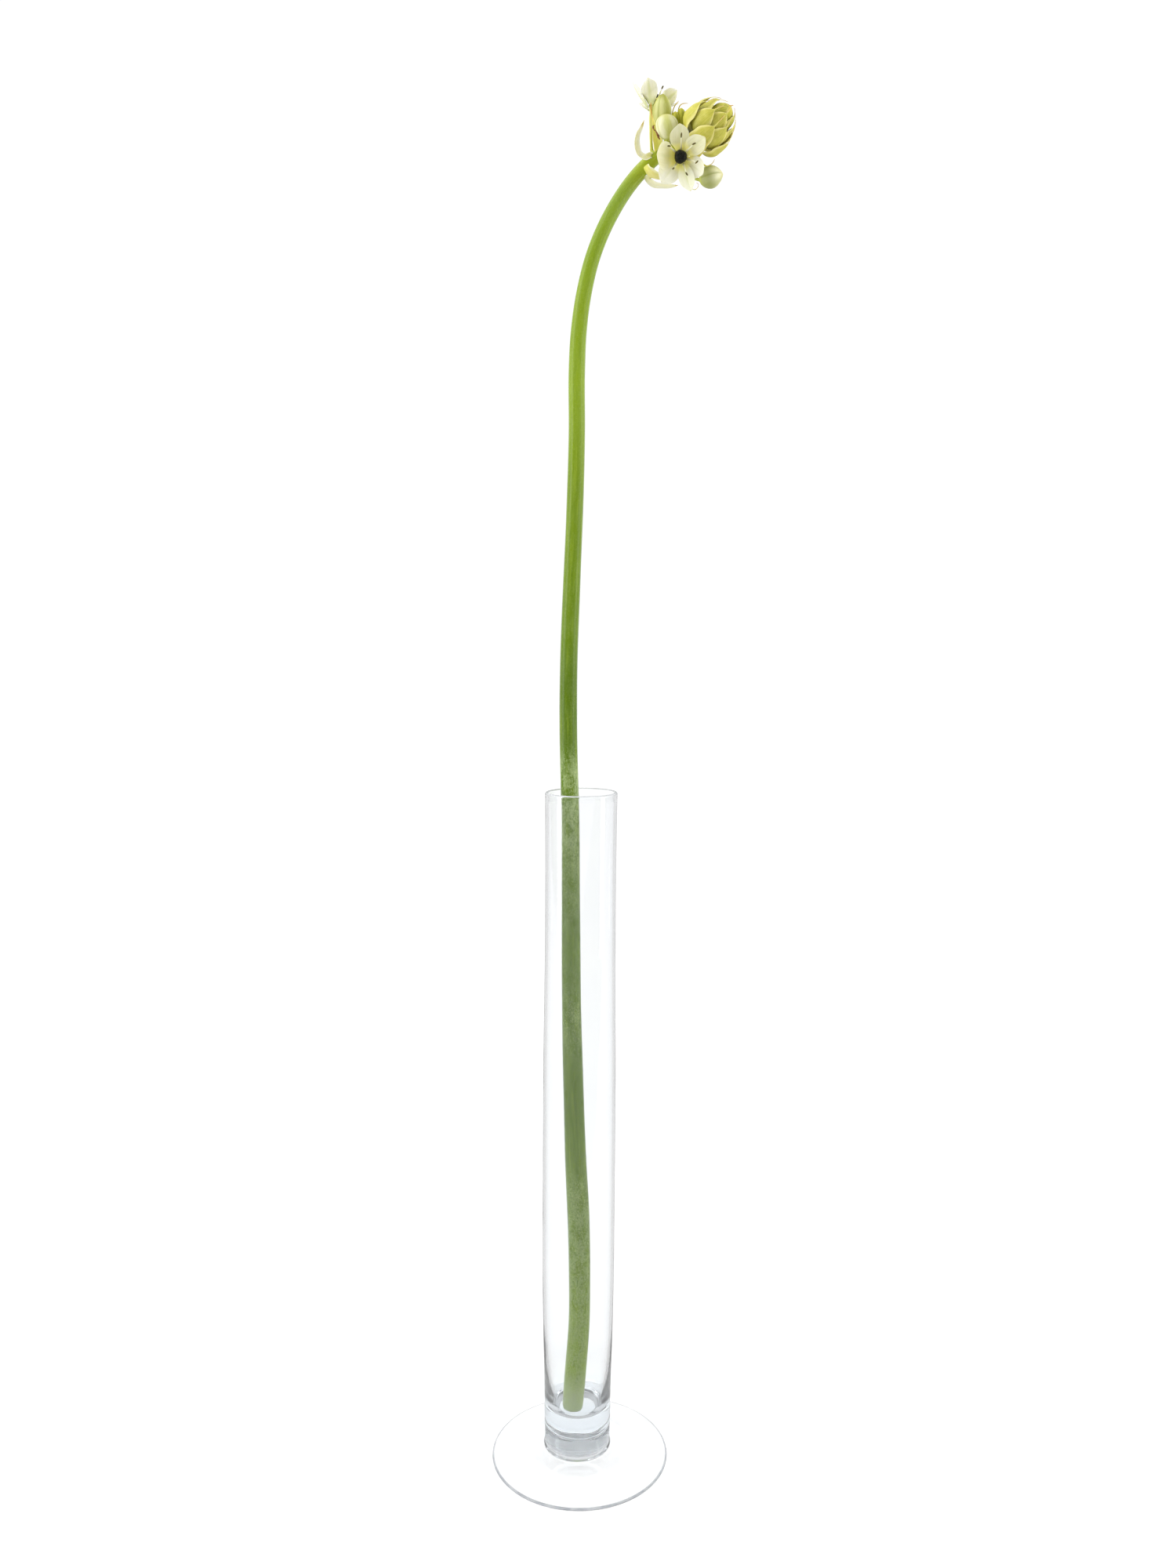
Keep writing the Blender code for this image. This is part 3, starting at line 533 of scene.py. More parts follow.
def bract_material(name, centre, edge, awn, veins, root=None, reach=0.35):
    """A bract: its middle, its thin pale margin, its drawn-out point and its fine veins, and a root colour over its
    lower part; on the green bracts that is a dark olive, painted shade.
    """
    k = Shade(name, roughness=0.46, specular=0.38, subsurface=0.22, radius=(1.0, 0.85, 0.35),
              scale=0.001)
    s, t, tail = k.mark("along"), k.calc("ABSOLUTE", k.mark("across")), k.mark("tail")
    stria = k.noise(k.flow(1.0, 0.07, 1.0), 2.3, 3.0, 0.6)
    cloud = k.noise(k.flow(1, 1, 1), 0.30, 3.0, 0.55)
    c = k.mix(k.between(stria, 0.36, 0.68, 0.0, 0.7), centre, veins)
    c = k.mix(k.between(cloud, 0.42, 0.68, 0.0, 0.4), c, k.mix(0.5, centre, edge))
    # painted shade on the green bracts: the lower part fades to the root colour, a dark olive
    if root is not None:
        c = k.mix(k.between(s, 0.05, reach, 0.9, 0.0), c, root)
    ragged = k.calc("ADD", t, k.calc("MULTIPLY", k.calc("SUBTRACT", stria, 0.5), 0.45))
    c = k.mix(k.between(ragged, 0.58, 0.96, 0.0, 0.9), c, edge)
    c = k.mix(k.between(tail, 0.35, 0.85), c, awn)
    k.colour(c)
    k.rough(k.between(stria, 0.3, 0.7, 0.40, 0.54))
    k.bump(stria, 0.00012, 0.8)
    return k.mat


def curl_material():
    k = Shade("dried_curl", roughness=0.7, specular=0.3)
    n = k.noise(k.place(), 1400.0, 4.0, 0.6)
    k.colour(k.mix(k.between(n, 0.35, 0.65), linear(84, 50, 24), linear(150, 96, 52)))
    k.bump(n, 0.00015, 0.9)
    return k.mat


def glass_material():
    """Clear glass with the faint blue grey of its thickness and the waves of blowing. In bands at the bowl, the heel
    and the foot's disc part of it is diffuse white, painted light that brightens them.
    """
    k = Shade("glass", roughness=0.0, specular=0.5)
    height = k.node("ShaderNodeSeparateXYZ", )
    k.nt.links.new(k.place(), height.inputs[0])
    z = height.outputs["Z"]
    # painted light: in bands at the bowl, the heel and the foot's disc some of the glass turns diffuse white, to
    # brighten them
    bowl = k.calc("MULTIPLY", k.between(z, 0.027, 0.033), k.between(z, 0.036, 0.066, 1.0, 0.0))
    heel = k.calc("MULTIPLY", k.between(z, 0.0058, 0.0066), k.between(z, 0.0088, 0.0100, 1.0, 0.0))
    out = k.node("ShaderNodeVectorMath", operation="LENGTH")
    k.nt.links.new(k.place(), out.inputs[0])
    disc = k.calc("MULTIPLY", k.between(z, 0.0050, 0.0058, 2.0, 0.0),
                  k.between(out.outputs["Value"], 0.0250, 0.0290, 0.0, 1.0))
    painted_light_milk = k.calc("MAXIMUM", k.calc("MAXIMUM", bowl, heel), disc)
    k.nt.links.new(k.between(painted_light_milk, 0.0, 2.0, 1.0, 0.82), k.p.inputs["Transmission Weight"])
    k.p.inputs["IOR"].default_value = 1.5
    wave = k.noise(k.place(), 22.0, 2.0, 0.5)
    clear = k.mix(k.between(wave, 0.3, 0.7), (0.975, 0.985, 0.995), (0.99, 0.996, 1.0))
    thick = k.calc("MULTIPLY", k.between(z, 0.0085, 0.0105), k.between(z, 0.030, 0.044, 1.0, 0.0))
    k.colour(k.mix(thick, clear, (0.94, 0.975, 1.0)))
    k.bump(wave, 0.0006, 0.25)
    body = k.node("ShaderNodeVolumeAbsorption")
    body.inputs["Color"].default_value = (0.50, 0.58, 0.64, 1.0)
    body.inputs["Density"].default_value = 7.0
    k.nt.links.new(body.outputs["Volume"], k.nt.nodes["Material Output"].inputs["Volume"])
    return k.mat


def rim_material(name, low, high):
    """The fire-polished mouth and the ground lip of the foot, part opaque and grey: pale grey on the mouth is painted
    light, darker grey on the lip a painted dark edge line.
    """
    k = Shade(name, roughness=0.22, specular=0.4)
    k.p.inputs["Transmission Weight"].default_value = 0.40
    k.p.inputs["IOR"].default_value = 1.5
    painted_tone_noise = k.noise(k.place(), 160.0, 3.0, 0.6)
    k.colour(k.mix(k.between(painted_tone_noise, 0.35, 0.65), low, high))
    k.bump(painted_tone_noise, 0.0001, 0.3)
    return k.mat


STEM = stem_material()
PEDICEL = pedicel_material()
YELLOW_CLAW = linear(254, 246, 146, 1.0)
# the two upper tepals take a darker copy of the tepal colours: painted shade, as they face down, away from the light
# overhead
TEPAL_TOP_SHADED = tepal_material("tepal_top_shaded", linear(230, 228, 192), linear(214, 211, 160),
                           linear(210, 204, 142), YELLOW_CLAW)
TEPAL_LOW = tepal_material("tepal_low", linear(242, 240, 218), linear(230, 228, 196),
                           linear(222, 218, 168), YELLOW_CLAW)
TEPAL_TAIL = tepal_material("tepal_tail", linear(236, 236, 210), linear(222, 224, 184),
                            linear(222, 220, 168), YELLOW_CLAW, rib_weight=0.75)
TEPAL_SIDE = tepal_material("tepal_side", linear(230, 227, 190), linear(214, 210, 158),
                            linear(222, 216, 128), linear(252, 240, 128, 1.0), deep=1.0)
TEPAL_BACK = tepal_material("tepal_back", linear(234, 232, 212), linear(220, 218, 182),
                            linear(216, 214, 170), linear(200, 204, 142), deep=0.5, rib_weight=0.25,
                            rib=linear(212, 214, 160), back_rib=linear(208, 212, 160))
OVARY = ovary_material()
STAMEN = stamen_material()
BUD_TALL = bud_material("bud_striped", linear(206, 208, 134), linear(168, 170, 58),
                        linear(222, 220, 158), linear(158, 160, 50))
BUD_ROUND = bud_material("bud_cream", linear(222, 221, 176), linear(196, 198, 104),
                         linear(236, 234, 200), linear(206, 204, 122))
BUD_LOW = bud_material("bud_low", linear(224, 222, 178), linear(146, 154, 60),
                       linear(228, 228, 194), linear(206, 200, 140), weight=0.45, shoulder=0.68)
YOUNG = bud_material("bud_young", linear(196, 196, 60), linear(146, 150, 22),
                     linear(214, 208, 84), linear(206, 196, 64), linear(178, 182, 60))
# the green bracts' fifth colour, a dark olive root colour, is painted shade over their lower parts
BRACT = bract_material("bract_green", linear(206, 199, 84), linear(236, 226, 142),
                       linear(212, 180, 112), linear(176, 174, 54), linear(86, 94, 8), 0.52)
# darker copies for the cone's inner rings, their dark root colour reaching further: painted shade deeper in the cone
BRACT_MID_SHADED = bract_material("bract_mid_shaded", linear(200, 194, 78), linear(234, 224, 138),
                           linear(212, 180, 112), linear(166, 166, 46), linear(80, 88, 6), 0.72)
BRACT_DEEP_SHADED = bract_material("bract_deep_shaded", linear(186, 182, 66), linear(220, 210, 118),
                            linear(204, 160, 96), linear(136, 142, 32), linear(80, 88, 8), 0.55)
BRACT_YELLOW = bract_material("bract_yellow", linear(216, 204, 96), linear(232, 220, 146),
                              linear(216, 190, 104), linear(196, 186, 76), linear(176, 178, 70))
DRY = bract_material("bract_cream", linear(246, 243, 210), linear(250, 248, 230),
                     linear(210, 188, 100), linear(236, 232, 186), linear(220, 218, 130))
DRY_BROWN = bract_material("bract_brown_tipped", linear(252, 245, 142), linear(250, 240, 168),
                           linear(204, 144, 70), linear(238, 232, 120), linear(230, 228, 118))
BOAT = bract_material("bract_boat", linear(226, 218, 134), linear(242, 238, 196),
                      linear(214, 200, 120), linear(216, 208, 116), linear(206, 206, 92))
CURL = curl_material()
GLASS = glass_material()
# painted dark edge line on the foot's lip, painted light on the top of the mouth
GLASS_LIP_PAINTED_SHADE = rim_material("glass_lip_painted_shade", (0.40, 0.42, 0.45), (0.54, 0.56, 0.58))
GLASS_RIM_PAINTED_LIGHT = rim_material("glass_rim_painted_light", (0.68, 0.70, 0.72), (0.80, 0.82, 0.84))

# ---------------------------------------------------------------- vase


def tube_shift(z):
    t = np.clip((z - 1.6) / 6.0, 0.0, 1.0)
    return -1.35 * t * t * (3 - 2 * t) + 2.45 * z / 350.0


def fillet(points, count):
    """A short bend of the profile, as an even curve through its points."""
    return smooth_path(points, count)


def vase():
    bowl = fillet([(0.0, 26.5), (3.2, 26.53), (6.0, 26.65), (8.2, 26.8), (10.0, 27.15), (11.5, 27.9),
                   (12.5, 29.1), (13.1, 30.8), (13.6, 33.0)], 44)
    z = 33.0 + (348.6 - 33.0) * np.linspace(0, 1, 64)[1:] ** 1.35
    r_in = even_value([(33.0, 13.6), (41.0, 14.65), (52.0, 15.55), (70.0, 16.45), (110.0, 17.05),
                       (200.0, 17.0), (290.0, 16.2), (330.0, 16.15), (348.6, 16.3)], z)
    rim = fillet([(16.3, 348.6), (16.42, 349.4), (16.8, 349.86), (17.2, 350.0), (17.6, 349.82),
                  (17.88, 349.3), (17.92, 348.4)], 22)
    z_out = np.concatenate([348.4 - (348.4 - 26.0) * np.linspace(0, 1, 60)[1:], np.arange(25.7, 16.0, -0.3),
                            [15.4, 14.6, 13.8, 12.9, 12.0]])
    r_out = even_value([(12.0, 16.9), (22.0, 17.15), (42.0, 17.4), (68.0, 18.05), (110.0, 18.55),
                        (200.0, 18.45), (290.0, 17.65), (348.4, 17.92)], z_out)
    heel = fillet([(16.9, 12.0), (16.85, 10.6), (16.82, 9.2), (16.86, 8.2), (17.05, 7.55), (17.6, 7.12),
                   (19.2, 6.68), (22.0, 5.98)], 30)
    r_foot = np.linspace(22.0, 44.2, 26)[1:]
    z_foot = even_value([(22.0, 5.98), (27.0, 4.8), (36.0, 2.95), (44.2, 1.45)], r_foot)
    lip = fillet([(44.2, 1.45), (45.1, 1.24), (45.55, 0.95), (45.7, 0.6), (45.5, 0.22), (44.9, 0.02)], 20)
    prof = np.concatenate([bowl, np.stack([r_in, z], 1), rim[1:], np.stack([r_out, z_out], 1), heel[1:],
                           np.stack([r_foot, z_foot], 1), lip[1:], [[44.0, 0.0], [30.0, 0.0],
                                                                     [15.0, 0.0], [0.0, 0.0]]])
    prof[:, 0] = np.clip(prof[:, 0], 0.0, 45.7)
    prof[:, 1] = np.clip(prof[:, 1], 0.0, 350.0)
    sides = 144
    ang = np.arange(sides) * math.tau / sides
    r, z = prof[1:-1, 0], prof[1:-1, 1]
    # blown glass is never quite round: its wall wanders by a tenth of a millimetre
    sway = 0.05 * np.sin(2 * ang[None] + z[:, None] * 0.021) + 0.04 * np.sin(3 * ang[None] - z[:, None] * 0.034)
    fade = np.clip((z - 8.0) / 30.0, 0, 1) * np.clip((349.0 - z) / 12.0, 0, 1)
    rr = r[:, None] - np.abs(sway) * fade[:, None]
    # two shallow creases round the outside, left where the tube was joined to its foot
    outside = (r > 16.6)[:, None]
    first = 22.2 + 0.9 * np.sin(ang + 0.5) + 0.45 * np.sin(3 * ang + 1.0) + 0.2 * np.sin(7 * ang)
    second = 18.4 + 0.3 * np.sin(2 * ang)
    rr = rr - outside * (0.26 * np.exp(-((z[:, None] - first[None]) / 0.42) ** 2)
                         + 0.13 * np.exp(-((z[:, None] - second[None]) / 0.42) ** 2))
    x = rr * np.cos(ang) + tube_shift(z)[:, None]
    y = rr * np.sin(ang)
    rings = np.stack([x, y, np.broadcast_to(z[:, None], x.shape)], -1)
    count = len(r)
    idx = np.arange(count * sides).reshape(count, sides)
    nxt = np.roll(idx, -1, axis=1)
    faces = [tuple(f) for f in np.stack([idx[:-1], idx[1:], nxt[1:], nxt[:-1]], -1).reshape(-1, 4)]
    top = [tube_shift(26.5), 0.0, prof[0, 1]]
    low = [0.0, 0.0, 0.0]
    verts = np.concatenate([rings.reshape(-1, 3), [top], [low]])
    c0, c1 = count * sides, count * sides + 1
    for k in range(sides):
        faces.append((idx[0, k], nxt[0, k], c0))
        faces.append((nxt[-1, k], idx[-1, k], c1))
    body = make("vase", verts, faces, {}, GLASS, sharp=42)
    body.data.materials.append(GLASS_LIP_PAINTED_SHADE)
    body.data.materials.append(GLASS_RIM_PAINTED_LIGHT)
    # the top of the mouth takes the pale grey, painted light, and the foot's outer lip the darker grey, a painted dark
    # edge line
    for face in body.data.polygons:
        up = face.center.z / MM
        out = math.hypot(face.center.x, face.center.y) / MM
        if up > 349.55:
            face.material_index = 2
        elif out > 44.75 and 0.05 < up < 1.5:
            face.material_index = 1


vase()

# ---------------------------------------------------------------- scape and rachis

SCAPE = [(-3.7, -3.4, 27.4), (-2.0, -2.7, 48), (-0.1, -1.6, 75), (0.1, -0.9, 96),
         (-0.4, 0.3, 128), (-1.9, 2.0, 160), (-3.1, 3.4, 199), (-4.0, 5.2, 240),
         (-4.35, 7.0, 290), (-4.6, 9.5, 340), (-5.4, 10.7, 378), (-5.2, 12.0, 411),
         (-3.75, 13.2, 450), (-2.1, 14.1, 488), (-1.05, 14.8, 526), (-1.0, 15.0, 555),
         (-0.15, 14.9, 572), (2.35, 14.6, 590), (7.0, 14.1, 608), (14.6, 13.4, 625)]
RACHIS = [(-15.6, -8.0, 0.0), (-12.6, -5.6, 0.0), (-8.6, -3.6, -0.3), (-4.0, -1.8, -0.4),
          (1.0, 0.2, -0.1), (6.4, 2.4, 0.8), (10.0, 5.1, 1.6), (13.6, 7.8, 2.4)]


def scape():
    pts = [np.array(p, dtype=float) for p in SCAPE] + [HEAD.out(p) for p in RACHIS]
    path = smooth_path(pts, 620)
    run = np.concatenate([[0], np.cumsum(np.linalg.norm(np.diff(path, axis=0), axis=1))])
    end = run[-1]
    radii = even_value([(0.0, 5.4), (60.0, 5.35), (105.0, 5.6), (130.0, 5.35), (165.0, 5.15),
                        (215.0, 4.85), (265.0, 4.65), (310.0, 4.5), (345.0, 4.4), (400.0, 4.25),
                        (450.0, 4.1), (490.0, 4.0), (530.0, 3.9), (560.0, 3.7), (580.0, 3.55),
                        (end - 38, 3.45), (end - 30, 3.2), (end - 22, 2.6), (end - 10, 2.2),
                        (end, 1.1)], run)
    radii = radii * (1.025 + 0.006 * np.sin(run * 0.11) + 0.005 * np.sin(run * 0.047 + 1.0))
    # the cut end is worn round at its edge
    radii[:3] *= [0.93, 0.98, 0.998]

    def flutes(s, a):
        depth = 0.007 + 0.012 * min(max((s - 0.9) / 0.1, 0.0), 1.0)
        return 1 + depth * np.cos(9 * a + 3 * s) + 0.005 * np.cos(5 * a - 7 * s)

    tube_piece("scape", path, radii, 44, STEM, flutes)


scape()

# ---------------------------------------------------------------- open flowers


def tepal(name, where, mat, azimuth, length, width, cup, lift, tip_bend, sweep=0.0, ripple=0.0,
          pinch=0.0, twist=0.0):
    """One tepal, running out from the flower's axis and rising by its cup angle."""
    start = 2.35
    c0, c1 = math.radians(cup), math.radians(tip_bend)
    outline = [(0.0, 0.36), (0.16, 0.60), (0.34, 0.92), (0.50, 1.0), (0.66, 0.95), (0.80, 0.74),
               (0.91, 0.42), (0.97, 0.19), (1.0, 0.05)]
    rows, cols = 44, 26
    steps = 160
    rho, h = [start], [lift]
    for i in range(steps):
        a = c0 + (c1 - c0) * max(0.0, (i + 0.5) / steps - 0.35) / 0.65
        rho.append(rho[-1] + math.cos(a) * (length + 0.15) / steps)
        h.append(h[-1] + math.sin(a) * (length + 0.15) / steps)
    rho, h = np.array(rho), np.array(h)
    s = np.linspace(0, 1, rows + 1) ** 0.92
    t = np.sin(np.linspace(-1, 1, cols + 1) * math.pi / 2)
    x = np.interp(s * steps, np.arange(steps + 1), rho)[:, None]
    z = np.interp(s * steps, np.arange(steps + 1), h)[:, None]
    half = (even_value(outline, s) * width / 2)[:, None]
    ss, tt = s[:, None], t[None, :]
    seed = float(rng.uniform(0, math.tau))
    wave = ripple * np.sin(ss * 9.0 + seed + 1.4 * np.sign(tt)) * tt**2 * np.clip(ss * 3, 0, 1)
    groove = -0.16 * np.exp(-(tt / 0.13) ** 2) * np.clip(ss * 6, 0, 1) * np.clip((1.02 - ss) * 5, 0, 1)
    rib = 0.03 * np.cos(tt * 16.0) * np.clip(ss * 4, 0, 1) * np.clip((1 - ss) * 3, 0, 1)
    cupping = (0.11 + pinch * ss) * half * tt**2
    hood = 0.5 * np.clip((ss - 0.86) / 0.14, 0, 1) ** 2
    rise = np.interp(s * steps, np.arange(steps + 1), np.gradient(h))[:, None]
    fore = np.interp(s * steps, np.arange(steps + 1), np.gradient(rho))[:, None]
    fore, rise = fore / np.hypot(fore, rise), rise / np.hypot(fore, rise)
    roll = np.radians(twist) * np.clip((ss - 0.05) / 0.45, 0, 1) ** 1.5
    wide, tall = half * tt, cupping + wave + groove + rib + hood
    wide, tall = wide * np.cos(roll) - tall * np.sin(roll), wide * np.sin(roll) + tall * np.cos(roll)
    local = np.stack([x - tall * rise * np.sin(np.abs(roll)) + 0 * tt, wide + sweep * ss**2,
                      z + tall * (1 - (1 - fore) * np.sin(np.abs(roll)))], -1)
    az = math.radians(azimuth)
    c, d = math.cos(az), math.sin(az)
    turned = np.stack([local[..., 0] * c - local[..., 1] * d, local[..., 0] * d + local[..., 1] * c,
                       local[..., 2]], -1)
    p = where.out(turned)
    thick = 0.46 * np.clip(1 - np.abs(tt) ** 4 * 0.72, 0.2, 1) * np.clip(1.25 - ss, 0.3, 1)
    sheet_piece(name, p, thick, ss, tt, mat)


def ovary(name, where, radius, height):
    """Three-lobed and glossy, with a short style on top."""
    rows, sides = 40, 60
    ang = np.arange(sides) * math.tau / sides
    lat = np.linspace(0.02, math.pi - 0.02, rows)
    rings = []
    for a in lat:
        lobe = 1 + 0.055 * math.sin(a) * np.cos(3 * ang) - 0.05 * math.sin(a) * np.exp(-(((ang * 3 / math.pi + 1) % 2 - 1) / 0.16) ** 2)
        r = radius * math.sin(a) * lobe
        flat = 1.0 - 0.10 * math.cos(a) ** 4
        rings.append(np.stack([r * np.cos(ang), r * np.sin(ang),
                               np.full(sides, height - radius * flat * math.cos(a))], -1))
    top = height + radius * 0.90
    for zz, rr in ((0.05, 0.42), (0.35, 0.30), (0.8, 0.26), (1.1, 0.34), (1.25, 0.24)):
        rings.append(np.stack([rr * np.cos(ang), rr * np.sin(ang), np.full(sides, top + zz)], -1))
    rings = np.array(rings)
    verts, faces = tube_mesh(rings)
    make(name, where.out(verts), faces, {}, OVARY)


def stamen_parts(azimuth, reach, rise, low, base=0.6, swing=0.0):
    """Points, faces and marks of one awl-shaped filament and its anther, in the flower's frame."""
    start = 3.7
    pts = np.array([(start - 0.35, 0, low - 0.45), (start, 0, low), (start + 0.36 * (reach - start), 0, low + 0.38 * rise),
                    (start + 0.72 * (reach - start), 0, low + 0.78 * rise)])
    path = smooth_path(pts, 16)
    k = np.linspace(0, 1, 16)
    wide = even_value([(0, base), (0.3, base * 0.8), (0.75, 0.30), (1.0, 0.20)], k)
    thin = even_value([(0, 0.34), (0.6, 0.22), (1.0, 0.15)], k)
    d = np.gradient(path, axis=0)
    d /= np.linalg.norm(d, axis=1, keepdims=True)
    ang = np.arange(14) * math.tau / 14
    side = np.array([0.0, 1.0, 0.0])
    rings = [path[i] + np.outer(np.cos(ang) * wide[i], side) + np.outer(np.sin(ang) * thin[i], np.cross(d[i], side))
             for i in range(16)]
    v1, f1 = tube_mesh(np.array(rings))
    a0 = np.array([start + 0.72 * (reach - start), 0, low + 0.78 * rise + 0.1])
    a1 = np.array([reach + 0.55, 0, low + 1.06 * rise])
    pivot, turn_by = (a0 + a1) / 2, math.radians(swing)
    spin = np.array([[math.cos(turn_by), math.sin(turn_by), 0], [-math.sin(turn_by), math.cos(turn_by), 0], [0, 0, 1]])
    a0, a1 = pivot + (a0 - pivot) @ spin, pivot + (a1 - pivot) @ spin
    q = np.linspace(0.0, 1.0, 18)
    path = a0 + np.outer(q, a1 - a0) + np.outer(np.sin(q * math.pi) * 0.12, [0, 0, 1.0])
    dd = unit(a1 - a0)
    across = unit(np.cross([0.0, 0.0, 1.0], dd))
    up = np.cross(dd, across)
    r = 0.36 * np.sqrt(np.clip(1 - (2 * q - 1) ** 2, 0.01, 1)) ** 0.8
    ang = np.arange(18) * math.tau / 18
    notch = 1 - 0.30 * np.exp(-((ang - math.pi / 2) / 0.45) ** 2) - 0.18 * np.exp(-((ang - 3 * math.pi / 2) / 0.4) ** 2)
    rings = [path[i] + np.outer(np.cos(ang) * notch * r[i] * 1.05, across)
             + np.outer(np.sin(ang) * notch * r[i] * 0.95, up) for i in range(18)]
    v2, f2 = tube_mesh(np.array(rings))
    verts = np.concatenate([v1, v2])
    faces = f1 + [tuple(i + len(v1) for i in f) for f in f2]
    s = np.concatenate([np.repeat(k, 14), [0, 1], np.full(len(v2), 1.0)])
    anther = np.concatenate([np.zeros(len(v1)), np.ones(len(v2))])
    az = math.radians(azimuth)
    c, e = math.cos(az), math.sin(az)
    verts = np.stack([verts[:, 0] * c - verts[:, 1] * e, verts[:, 0] * e + verts[:, 1] * c, verts[:, 2]], -1)
    return verts, faces, s, anther


def stamen(name, where, azimuth, reach, rise, swing=0.0, low=2.15, base=0.6):
    v, f, s, a = stamen_parts(azimuth, reach, rise, low, base, swing)
    make(name, where.out(v), f, {"along": s, "anther": a}, STAMEN)


def stamen_ring(name, where, specs):
    """Six stamens joined by a low ring at their feet."""
    sides, small = 60, 12
    ang = np.arange(sides) * math.tau / sides
    mini = np.arange(small) * math.tau / small
    ring = np.array([[((3.8 + 0.4 * math.cos(b)) * math.cos(a), (3.8 + 0.4 * math.cos(b)) * math.sin(a),
                       3.1 + 0.4 * math.sin(b)) for b in mini] for a in ang])
    idx = np.arange(sides * small).reshape(sides, small)
    r1, r2 = np.roll(idx, -1, axis=0), np.roll(idx, -1, axis=1)
    r3 = np.roll(r1, -1, axis=1)
    verts = [ring.reshape(-1, 3)]
    faces = [tuple(f) for f in np.stack([idx, r1, r3, r2], -1).reshape(-1, 4)]
    s, a = [np.zeros(sides * small)], [np.zeros(sides * small)]
    off = sides * small
    for spec in specs:
        v, f, ss, aa = stamen_parts(*spec, 3.1)
        verts.append(v)
        faces += [tuple(i + off for i in face) for face in f]
        s.append(ss)
        a.append(aa)
        off += len(v)
    make(name, where.out(np.concatenate(verts)), faces,
         {"along": np.concatenate(s), "anther": np.concatenate(a)}, STAMEN)


def dome_radii(radii, count, grow=1.0):
    """The pedicel's radii spread over more points, its far end rounded off into a receptacle."""
    return np.interp(np.linspace(0, len(radii) - 1, count), np.arange(len(radii)), radii) * grow


FRONT = flower_frame((0.2, -4.9, 11.0), (-0.02, 0.02, 1.0), (0, 1, 0))
front = [(TEPAL_TOP_SHADED, 96.0, 12.1, 9.0, 22.0, -0.45, 24.0, -0.9, 0.24, 0.10),
         (TEPAL_TOP_SHADED, 36.0, 12.6, 8.8, 30.0, 0.45, 22.0, -0.5, 0.22, 0.0),
         (TEPAL_LOW, -34.0, 11.8, 9.4, 25.0, -0.45, 32.0, -0.5, 0.20, 0.0),
         (TEPAL_TAIL, -73.0, 14.6, 7.4, 30.0, 0.45, 24.0, 0.5, 0.24, 0.05),
         (TEPAL_LOW, -130.0, 12.6, 10.0, 25.0, -0.45, 28.0, 0.0, 0.22, 0.0),
         (TEPAL_SIDE, 177.0, 11.4, 12.0, 34.0, 0.45, 58.0, -0.6, 0.12, 0.06)]
for i, (mat, *spec) in enumerate(front):
    tepal("front_flower_tepal_%d" % (i + 1), FRONT, mat, *spec)
ovary("front_flower_ovary", FRONT, 3.0, 3.35)
for i, spec in enumerate([(140.0, 7.2, 3.4, 36.0), (88.0, 9.4, 4.8, -4.0, 1.25), (40.0, 8.4, 4.2, -22.0),
                          (-18.0, 8.3, 4.8, 60.0, 1.25), (-68.0, 8.2, 4.0, 14.0),
                          (-124.0, 5.9, 4.2, -20.0, 1.45)]):
    stamen("front_flower_stamen_%d" % (i + 1), FRONT, *spec)
tube_piece("front_flower_pedicel",
           HEAD.out(smooth_path([(-3.1, -3.0, 1.2), (-3.2, -3.9, 2.2), (-2.8, -4.6, 4.6), (-1.0, -4.9, 8.0),
                                 (0.2, -4.9, 11.1)], 60)),
           dome_radii([1.05, 0.9, 0.85, 0.8, 0.8, 0.82, 0.9, 1.3, 2.2], 60), 20, PEDICEL)

BACK = flower_frame((-13.3, 16.2, -10.5), (0.26, 0.92, -0.28), (0, 0, 1))
back = [(59.0, 11.3, 8.4, 46.0, 0.5, 50.0, 0.0, 0.16, 0.08, 34.0),
        (155.0, 11.2, 9.0, 44.0, 0.45, 52.0, 0.0, 0.22, 0.10, -30.0),
        (2.0, 12.4, 8.6, 38.0, -0.5, 44.0, 0.0, 0.18, 0.10),
        (-68.0, 12.2, 7.8, 22.0, -1.1, 36.0, 0.0, 0.16, 0.0),
        (-110.0, 12.4, 7.8, 46.0, 0.45, 44.0, 0.0, 0.16, 0.0),
        (-158.0, 12.2, 7.8, 34.0, -0.6, 38.0, 0.0, 0.16, 0.0)]
for i, spec in enumerate(back):
    tepal("back_flower_tepal_%d" % (i + 1), BACK, TEPAL_BACK, *spec)
ovary("back_flower_ovary", BACK, 2.8, 3.7)
stamen_ring("back_flower_stamens", BACK,
            [(112.0, 6.0, 5.2), (32.0, 6.8, 5.4), (-20.0, 7.2, 5.0),
             (-76.0, 7.2, 4.8), (-124.0, 6.8, 5.0), (-168.0, 5.6, 4.6)])
tube_piece("back_flower_pedicel",
           HEAD.out(smooth_path([(-13.0, -4.2, -0.4), (-13.5, -2.4, -1.0), (-13.9, 2.0, -1.4), (-14.1, 8.0, -2.6),
                                 (-14.2, 12.0, -6.0), (-13.8, 14.4, -9.2), (-13.17, 16.65, -10.64)], 90)),
           dome_radii([1.05, 0.85, 0.75, 0.7, 0.7, 0.7, 0.7, 0.7, 0.72, 0.72, 0.8, 1.25, 2.2], 90), 20,
           PEDICEL)

# ---------------------------------------------------------------- buds on their pedicels


